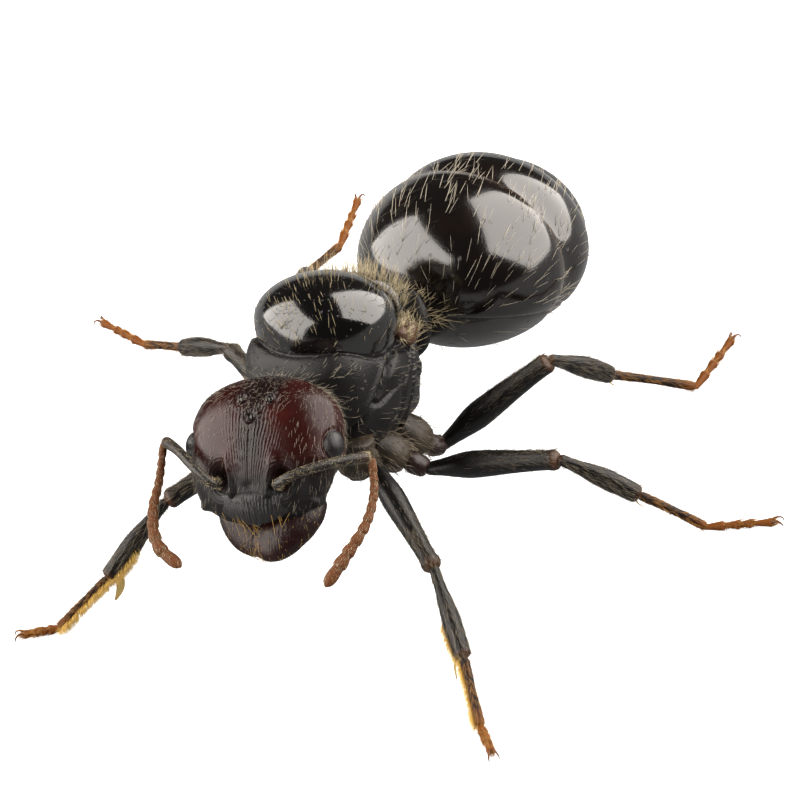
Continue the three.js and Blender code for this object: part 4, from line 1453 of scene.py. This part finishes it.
def direction_in(frame, vector):
    """A direction of a local frame, in the row's frame."""
    return np.array(frame.to_3x3() @ Vector(vector))


def trunk_hairs(comb):
    """Upright golden hairs on the back, short pale ones on the flanks."""
    back = direction_in(TRUNK_FRAME, (0, 1, 0))
    up = (-0.1, 0.35, 1)
    behind = lambda p: 1.5 * step_up(p[:, 1], 0.1, 0.7)
    dome = lambda p: (p[:, 2] > 2.9) * (0.35 + 1.2 * bell(p[:, 0], 0, 0.3) + behind(p))
    above = lambda height: lambda p: p[:, 2] > height
    outside = lambda p: np.abs(p[:, 0]) > 0.4
    comb_out("hairs_back", [
        grow(comb, "scutum_plate", 460, (0.24, 0.5), 0.4, up, 0.5, dome, (0, 0, 3), 0.0, 0.12, True),
        grow(comb, "scutellum_plate", 240, (0.3, 0.6), 0.5, up, 0.55, above(3.0), (1, 0, 3), 0.1, 0.2, True),
        grow(comb, "wing_stub_left", 90, (0.2, 0.4), 0.4, up, 0.55, everywhere, (2, 0, 3)),
        grow(comb, "wing_stub_right", 90, (0.2, 0.4), 0.4, up, 0.55, everywhere, (0, 1, 3)),
        grow(comb, "tegula_left", 50, (0.12, 0.25), 0.7, back, 0.65, everywhere, (1, 1, 3)),
        grow(comb, "tegula_right", 50, (0.12, 0.25), 0.7, back, 0.65, everywhere, (2, 1, 3)),
        grow(comb, "petiole_knot", 130, (0.25, 0.5), 0.75, back, 0.65, above(2.3), (0, 2, 3)),
        grow(comb, "postpetiole_knot", 170, (0.3, 0.55), 0.7, back, 0.65, above(2.3), (1, 2, 3)),
    ], "golden_hair")
    comb_out("hairs_flanks", [
        grow(comb, "pronotum_plate", 700, (0.1, 0.28), 0.45, -back, 0.35, everywhere, (0, 0, 2)),
        grow(comb, "mesothorax_plate", 340, (0.1, 0.24), 0.45, back, 0.35, outside, (1, 0, 2)),
        grow(comb, "propodeum_plate", 360, (0.14, 0.34), 0.55, back, 0.4, everywhere, (0, 1, 2)),
    ], "pale_hair")


def gaster_hairs(comb):
    """Long pale hairs that lie back along the gaster's plates."""
    rear = direction_in(GASTER_FRAME, (0, 1, 0.7))
    numbers = {
        "tergite_1": 480, "tergite_2": 280, "tergite_3": 140, "tergite_4": 160,
        "sternite_1": 60, "sternite_2": 80,
    }
    strands = []
    for index, (plate, number) in enumerate(numbers.items()):
        skin = f"gaster_{plate}_plate"
        cell = (index % 3, index // 3, 3)
        strands.append(grow(comb, skin, number, (0.3, 0.58), 0.3, rear, 0.5, everywhere, cell, 0.1, 0.1))
    comb_out("hairs_gaster", strands, "cream_hair")


def head_hairs(comb):
    """Pale down on the head, then the golden beard of the mouth shield and the jaws."""
    fall = direction_in(HEAD_FRAME, (0, -1, 0.2))
    hang = direction_in(HEAD_FRAME, (0.1, -1, -0.1))
    cheek = lambda p: 0.25 + step_up(np.abs(p[:, 0]), 0.7, 1.2)
    sides = lambda p: (p[:, 2] > -0.4) * cheek(p) * (p[:, 1] > -1.5)
    crown = lambda p: step_up(p[:, 1], 0.9, 1.4) * step_up(p[:, 2], -0.9, -0.2)
    edge = lambda p: bell(p[:, 1], -1.54 + 0.4 * p[:, 0] ** 2, 0.06)
    lip = lambda p: edge(p) * bell(p[:, 0], -0.1, 0.6) * (p[:, 2] > 0.4)
    jaw = lambda p: (0.15 + bell(p[:, 0], -0.05, 0.4) * bell(p[:, 1], -2.0, 0.3)) * (p[:, 2] > 0.2)
    comb_out("hairs_head", [
        grow(comb, "head_capsule", 900, (0.08, 0.2), 0.3, fall, 0.2, sides, (0, 0, 1)),
        grow(comb, "head_capsule", 420, (0.12, 0.3), 0.5, fall, 0.24, crown, (0, 0, 1)),
    ], "pale_hair")
    comb_out("hairs_mouth", [
        grow(comb, "mouth_shield", 22, (0.45, 0.9), 0.12, hang, 0.6, lip, (0, 0, 2), -0.12, 0.12),
        grow(comb, "mandible_left_jaw", 150, (0.2, 0.5), 0.3, hang, 0.4, jaw, (1, 0, 2)),
        grow(comb, "mandible_right_jaw", 110, (0.2, 0.5), 0.3, hang, 0.4, jaw, (0, 1, 2)),
    ], "beard_hair")


def feeler_hairs(comb):
    """Short golden hairs that lie along the scapes, shorter and denser ones on the lashes."""
    for part, first, skin, number, length, girth in (
        ("scape", 1, "shaft", 800, (0.08, 0.18), 0.38),
        ("lash", 0, "beads", 1700, (0.05, 0.11), 0.3),
    ):
        strands = []
        for index, (word, _) in enumerate(SIDES):
            path = FEELER[word][part]
            run = unit(direction_in(HEAD_FRAME, np.subtract(path[-1], path[first])))
            name = f"antenna_{part}_{word}_{skin}"
            strands.append(grow(comb, name, number, length, 0.35, run, girth, everywhere, (index, 0, 2)))
        comb_out("hairs_scapes" if part == "scape" else "hairs_lashes", strands, "golden_hair")


def leg_hairs(comb):
    """Short bristles along the legs, longer russet ones at the feet's joints."""
    plans = {  # segment: number, length, lift, girth
        "coxa": (190, (0.14, 0.36), 0.45, 0.42), "trochanter": (50, (0.1, 0.22), 0.5, 0.45),
        "femur": (460, (0.12, 0.24), 0.25, 0.25), "tibia": (560, (0.12, 0.24), 0.2, 0.25),
        "basitarsus": (420, (0.08, 0.2), 0.25, 0.3), "tarsus": (420, (0.12, 0.26), 0.45, 0.75),
    }
    thigh = lambda p: 0.25 + 3 * step_up(p[:, 1], 1.2, 3.0) * step_up(p[:, 2], -0.05, 0.2)
    for place in STANCE:
        joints = joints_of(place)
        ends = np.cumsum(TARSOMERES) * joints["tarsus"][2]
        ringed = lambda p: 0.2 + 3 * sum(bell(p[:, 1], end - 0.06, 0.05) for end in ends)
        weights = {"femur": thigh, "tarsus": ringed}
        strands = []
        for index, (part, (number, length, lift, girth)) in enumerate(plans.items()):
            skin = f"leg_{place}_{part}" + ("_joints" if part == "tarsus" else "_shell")
            where = weights.get(part, everywhere)
            cell = (index % 3, index // 3, 3)
            run = joints[part][1]
            strands.append(grow(comb, skin, number, length, lift, run, girth, where, cell))
        comb_out(f"hairs_leg_{place}", strands[:4], "leg_hair")
        comb_out(f"hairs_foot_{place}", strands[4:], "russet_hair")


def foot_brushes(comb):
    """Dense amber brushes on the inner faces of the front shins and feet."""
    strands = []
    for index, (word, side) in enumerate(SIDES):
        place = "front_" + word
        for step, (part, number) in enumerate((("tibia", 520), ("basitarsus", 950))):
            _, run, length = joints_of(place)[part]
            skin = f"leg_{place}_{part}_shell"
            cell = (index, step, 2)

            def inner(points):
                far = step_up(points[:, 1], 0.55 * length, 0.75 * length) if part == "tibia" else 1
                return far * (points[:, 0] * side > 0.0) * (points[:, 2] < 0.06)

            strands.append(grow(comb, skin, number, (0.14, 0.22), 0.65, run, 0.45, inner, cell, 0.1, 0.08))
    comb_out("hairs_brush", strands, "amber_hair")


def build_coat():
    """All the hairs, from one seeded run of draws, so the order of these calls matters."""
    panel = bpy.context.scene.ant_look
    comb = {
        "rng": np.random.default_rng(HAIR_SEED),
        "share": panel.hair_share,
        "radius": panel.hair_thickness / MM / 2,
    }
    for cover in (trunk_hairs, gaster_hairs, head_hairs, feeler_hairs, leg_hairs, foot_brushes):
        cover(comb)


# ---------------------------------------------------------------- stage
def view_axes():
    """Unit vectors to the camera, to the right of its view and up in it."""
    azimuth, elevation, roll = (math.radians(VIEW[k]) for k in ("azimuth", "elevation", "roll"))
    flat = math.cos(elevation)
    toward = Vector((flat * math.sin(azimuth), -flat * math.cos(azimuth), math.sin(elevation)))
    level = Vector((math.cos(azimuth), math.sin(azimuth), 0))
    rise = toward.cross(level)
    right = level * math.cos(roll) - rise * math.sin(roll)
    up = level * math.sin(roll) + rise * math.cos(roll)
    return toward, right, up


def add_lamp(name, direction, size, look):
    """A softbox that faces the ant."""
    lamp = bpy.data.lights.new(name, "AREA")
    lamp.shape = "RECTANGLE"
    lamp.size = size[0] * MM
    lamp.size_y = size[1] * MM
    lamp.energy = look.lamp_power * size[0] * size[1] / 1e4
    lamp.color = look.lamp_colour
    spot = bpy.data.objects.new(name, lamp)
    towards = Vector(direction).normalized()
    spot.location = towards * LAMP_DISTANCE * MM
    spot.rotation_euler = towards.to_track_quat("Z", "Y").to_euler()
    bpy.context.scene.collection.objects.link(spot)


def build_stage():
    """The white floor, the softboxes, the faint room light and the camera."""
    look = bpy.context.scene.ant_stage
    scene = bpy.context.scene
    bm = bmesh.new()
    bmesh.ops.create_grid(bm, x_segments=1, y_segments=1, size=FLOOR_SIZE)
    mesh = bpy.data.meshes.new("floor")
    bm.to_mesh(mesh)
    bm.free()
    floor = bpy.data.objects.new("floor", mesh)
    scene.collection.objects.link(floor)
    paper = bpy.data.materials.new("paper")
    paper.use_nodes = True
    tree = paper.node_tree
    shader = tree.nodes["Principled BSDF"]
    seen = add(tree, "ShaderNodeLightPath").outputs["Is Camera Ray"]
    dim = tuple(FLOOR_BOUNCE * part for part in look.floor_colour)
    tree.links.new(blend(tree, seen, rgb(dim), rgb(look.floor_colour)), shader.inputs["Base Color"])
    glow = calc(tree, "MULTIPLY", seen, look.floor_glow)
    tree.links.new(glow, shader.inputs["Emission Strength"])
    shader.inputs["Emission Color"].default_value = (1, 1, 1, 1)
    shader.inputs["Roughness"].default_value = 0.9
    shader.inputs["Specular IOR Level"].default_value = 0.0
    mesh.materials.append(paper)

    for name, (direction, size) in LAMPS.items():
        add_lamp(name, direction, size, look)
    world = bpy.data.worlds.new("room")
    world.use_nodes = True
    world.node_tree.nodes["Background"].inputs["Color"].default_value = (1, 1, 1, 1)
    world.node_tree.nodes["Background"].inputs["Strength"].default_value = look.room_light
    scene.world = world

    toward, right, up = view_axes()
    aside, above = VIEW["aim"]
    forward = (right * aside + up * above - toward).normalized()
    level = forward.cross(up).normalized()
    basis = Matrix((level, level.cross(forward), -forward)).transposed().to_4x4()
    camera = bpy.data.cameras.new("camera")
    camera.lens = VIEW["lens"]
    camera.sensor_width = VIEW["sensor"]
    camera.clip_start, camera.clip_end = VIEW["clip"]
    spot = bpy.data.objects.new("camera", camera)
    place = (toward * VIEW["distance"] + Vector(ZERO)) * MM
    spot.matrix_world = Matrix.Translation(place) @ basis
    scene.collection.objects.link(spot)
    scene.camera = spot
    scene.view_settings.view_transform = "Standard"


# ---------------------------------------------------------------- add-on
def colour_setting(name, description, default):
    return bpy.props.FloatVectorProperty(
        name=name, description=description, default=default, subtype="COLOR", min=0, max=1
    )


class AntLook(bpy.types.PropertyGroup):
    shell_black: colour_setting(
        "Shell black", "Main colour of the glossy plates", (0.002, 0.0018, 0.0018)
    )
    shell_brown: colour_setting(
        "Shell brown", "Warmer patches of the glossy plates", (0.0034, 0.0023, 0.0019)
    )
    head_red: colour_setting("Head red", "Wine red of the head", (0.03, 0.0042, 0.003))
    foot_orange: colour_setting("Foot orange", "Orange brown of the feet", (0.155, 0.046, 0.004))
    lash_orange: colour_setting(
        "Lash orange", "Orange of the feelers' outer part", (0.105, 0.034, 0.009)
    )
    hair_gold: colour_setting("Hair gold", "Colour of the long hairs' tips", (0.52, 0.43, 0.26))
    hair_thickness: bpy.props.FloatProperty(
        name="Hair thickness", description="Thickness of a long hair at its root",
        default=0.000028, unit="LENGTH", min=0.000005, max=0.0002, precision=6,
    )
    hair_share: bpy.props.FloatProperty(
        name="Hair share", description="How many of the hairs are grown",
        default=1.0, subtype="FACTOR", min=0, max=2,
    )


class AntStage(bpy.types.PropertyGroup):
    floor_colour: colour_setting("Floor colour", "Colour of the floor", (0.8, 0.84, 0.88))
    floor_glow: bpy.props.FloatProperty(
        name="Floor glow", description="Light that the camera sees from the floor, which thins the shadows",
        default=0.75, min=0,
    )
    lamp_power: bpy.props.FloatProperty(
        name="Lamp power", description="Power of a softbox per 100 mm square",
        default=0.155, unit="POWER", min=0,
    )
    lamp_colour: colour_setting("Lamp colour", "Colour of the softboxes", (1.0, 0.94, 0.88))
    room_light: bpy.props.FloatProperty(
        name="Room light", description="Brightness of the room around", default=0.035, min=0,
    )


class ANT_OT_trunk(bpy.types.Operator):
    """Lays the plates of the trunk and the wing stubs"""

    bl_idname = "ant.trunk"
    bl_label = "Trunk"

    def execute(self, context):
        build_trunk()
        return {"FINISHED"}


class ANT_OT_waist(bpy.types.Operator):
    """Lays the petiole, the postpetiole and their stalks"""

    bl_idname = "ant.waist"
    bl_label = "Waist"

    def execute(self, context):
        build_waist()
        return {"FINISHED"}


class ANT_OT_gaster(bpy.types.Operator):
    """Lays the plates of the gaster"""

    bl_idname = "ant.gaster"
    bl_label = "Gaster"

    def execute(self, context):
        build_gaster()
        return {"FINISHED"}


class ANT_OT_head(bpy.types.Operator):
    """Shapes the head, its mouth shield and the neck"""

    bl_idname = "ant.head"
    bl_label = "Head"

    def execute(self, context):
        build_head()
        return {"FINISHED"}


class ANT_OT_eyes(bpy.types.Operator):
    """Sets the compound eyes and the ocelli"""

    bl_idname = "ant.eyes"
    bl_label = "Eyes"

    def execute(self, context):
        build_eyes()
        return {"FINISHED"}


class ANT_OT_jaws(bpy.types.Operator):
    """Shapes the mandibles and the plate behind them"""

    bl_idname = "ant.jaws"
    bl_label = "Jaws"

    def execute(self, context):
        build_jaws()
        return {"FINISHED"}


class ANT_OT_feelers(bpy.types.Operator):
    """Shapes the scapes and the lashes"""

    bl_idname = "ant.feelers"
    bl_label = "Feelers"

    def execute(self, context):
        build_feelers()
        return {"FINISHED"}


class ANT_OT_legs(bpy.types.Operator):
    """Shapes the hips, thighs, shins and the feet's first joints"""

    bl_idname = "ant.legs"
    bl_label = "Legs"

    def execute(self, context):
        build_legs()
        return {"FINISHED"}


class ANT_OT_feet(bpy.types.Operator):
    """Shapes the feet's last joints, the claws and the spurs"""

    bl_idname = "ant.feet"
    bl_label = "Feet"

    def execute(self, context):
        build_feet()
        return {"FINISHED"}


class ANT_OT_coat(bpy.types.Operator):
    """Grows the hairs"""

    bl_idname = "ant.coat"
    bl_label = "Hairs"

    def execute(self, context):
        build_coat()
        return {"FINISHED"}


class ANT_OT_stage(bpy.types.Operator):
    """Sets the floor, lamps and camera"""

    bl_idname = "ant.stage"
    bl_label = "Stage"

    def execute(self, context):
        build_stage()
        return {"FINISHED"}


OPERATORS = (
    ANT_OT_trunk, ANT_OT_waist, ANT_OT_gaster, ANT_OT_head, ANT_OT_eyes, ANT_OT_jaws,
    ANT_OT_feelers, ANT_OT_legs, ANT_OT_feet, ANT_OT_coat, ANT_OT_stage,
)


class ANT_PT_panel(bpy.types.Panel):
    """Lists the ant's settings and building steps"""

    bl_label = "Harvester Ant Queen"
    bl_idname = "ANT_PT_panel"
    bl_space_type = "VIEW_3D"
    bl_region_type = "UI"
    bl_category = "Ant"

    def draw(self, context):
        for settings in (context.scene.ant_look, context.scene.ant_stage):
            for name in settings.__annotations__:
                self.layout.prop(settings, name)
        for operator in OPERATORS:
            self.layout.operator(operator.bl_idname)


CLASSES = (AntLook, AntStage, *OPERATORS, ANT_PT_panel)


def register():
    for kind in CLASSES:
        bpy.utils.register_class(kind)
    bpy.types.Scene.ant_look = bpy.props.PointerProperty(type=AntLook)
    bpy.types.Scene.ant_stage = bpy.props.PointerProperty(type=AntStage)


def unregister():
    del bpy.types.Scene.ant_stage
    del bpy.types.Scene.ant_look
    for kind in reversed(CLASSES):
        bpy.utils.unregister_class(kind)


def main():
    register()
    for operator in OPERATORS:
        group, step = operator.bl_idname.split(".")
        getattr(getattr(bpy.ops, group), step)()


if __name__ == "__main__":
    main()
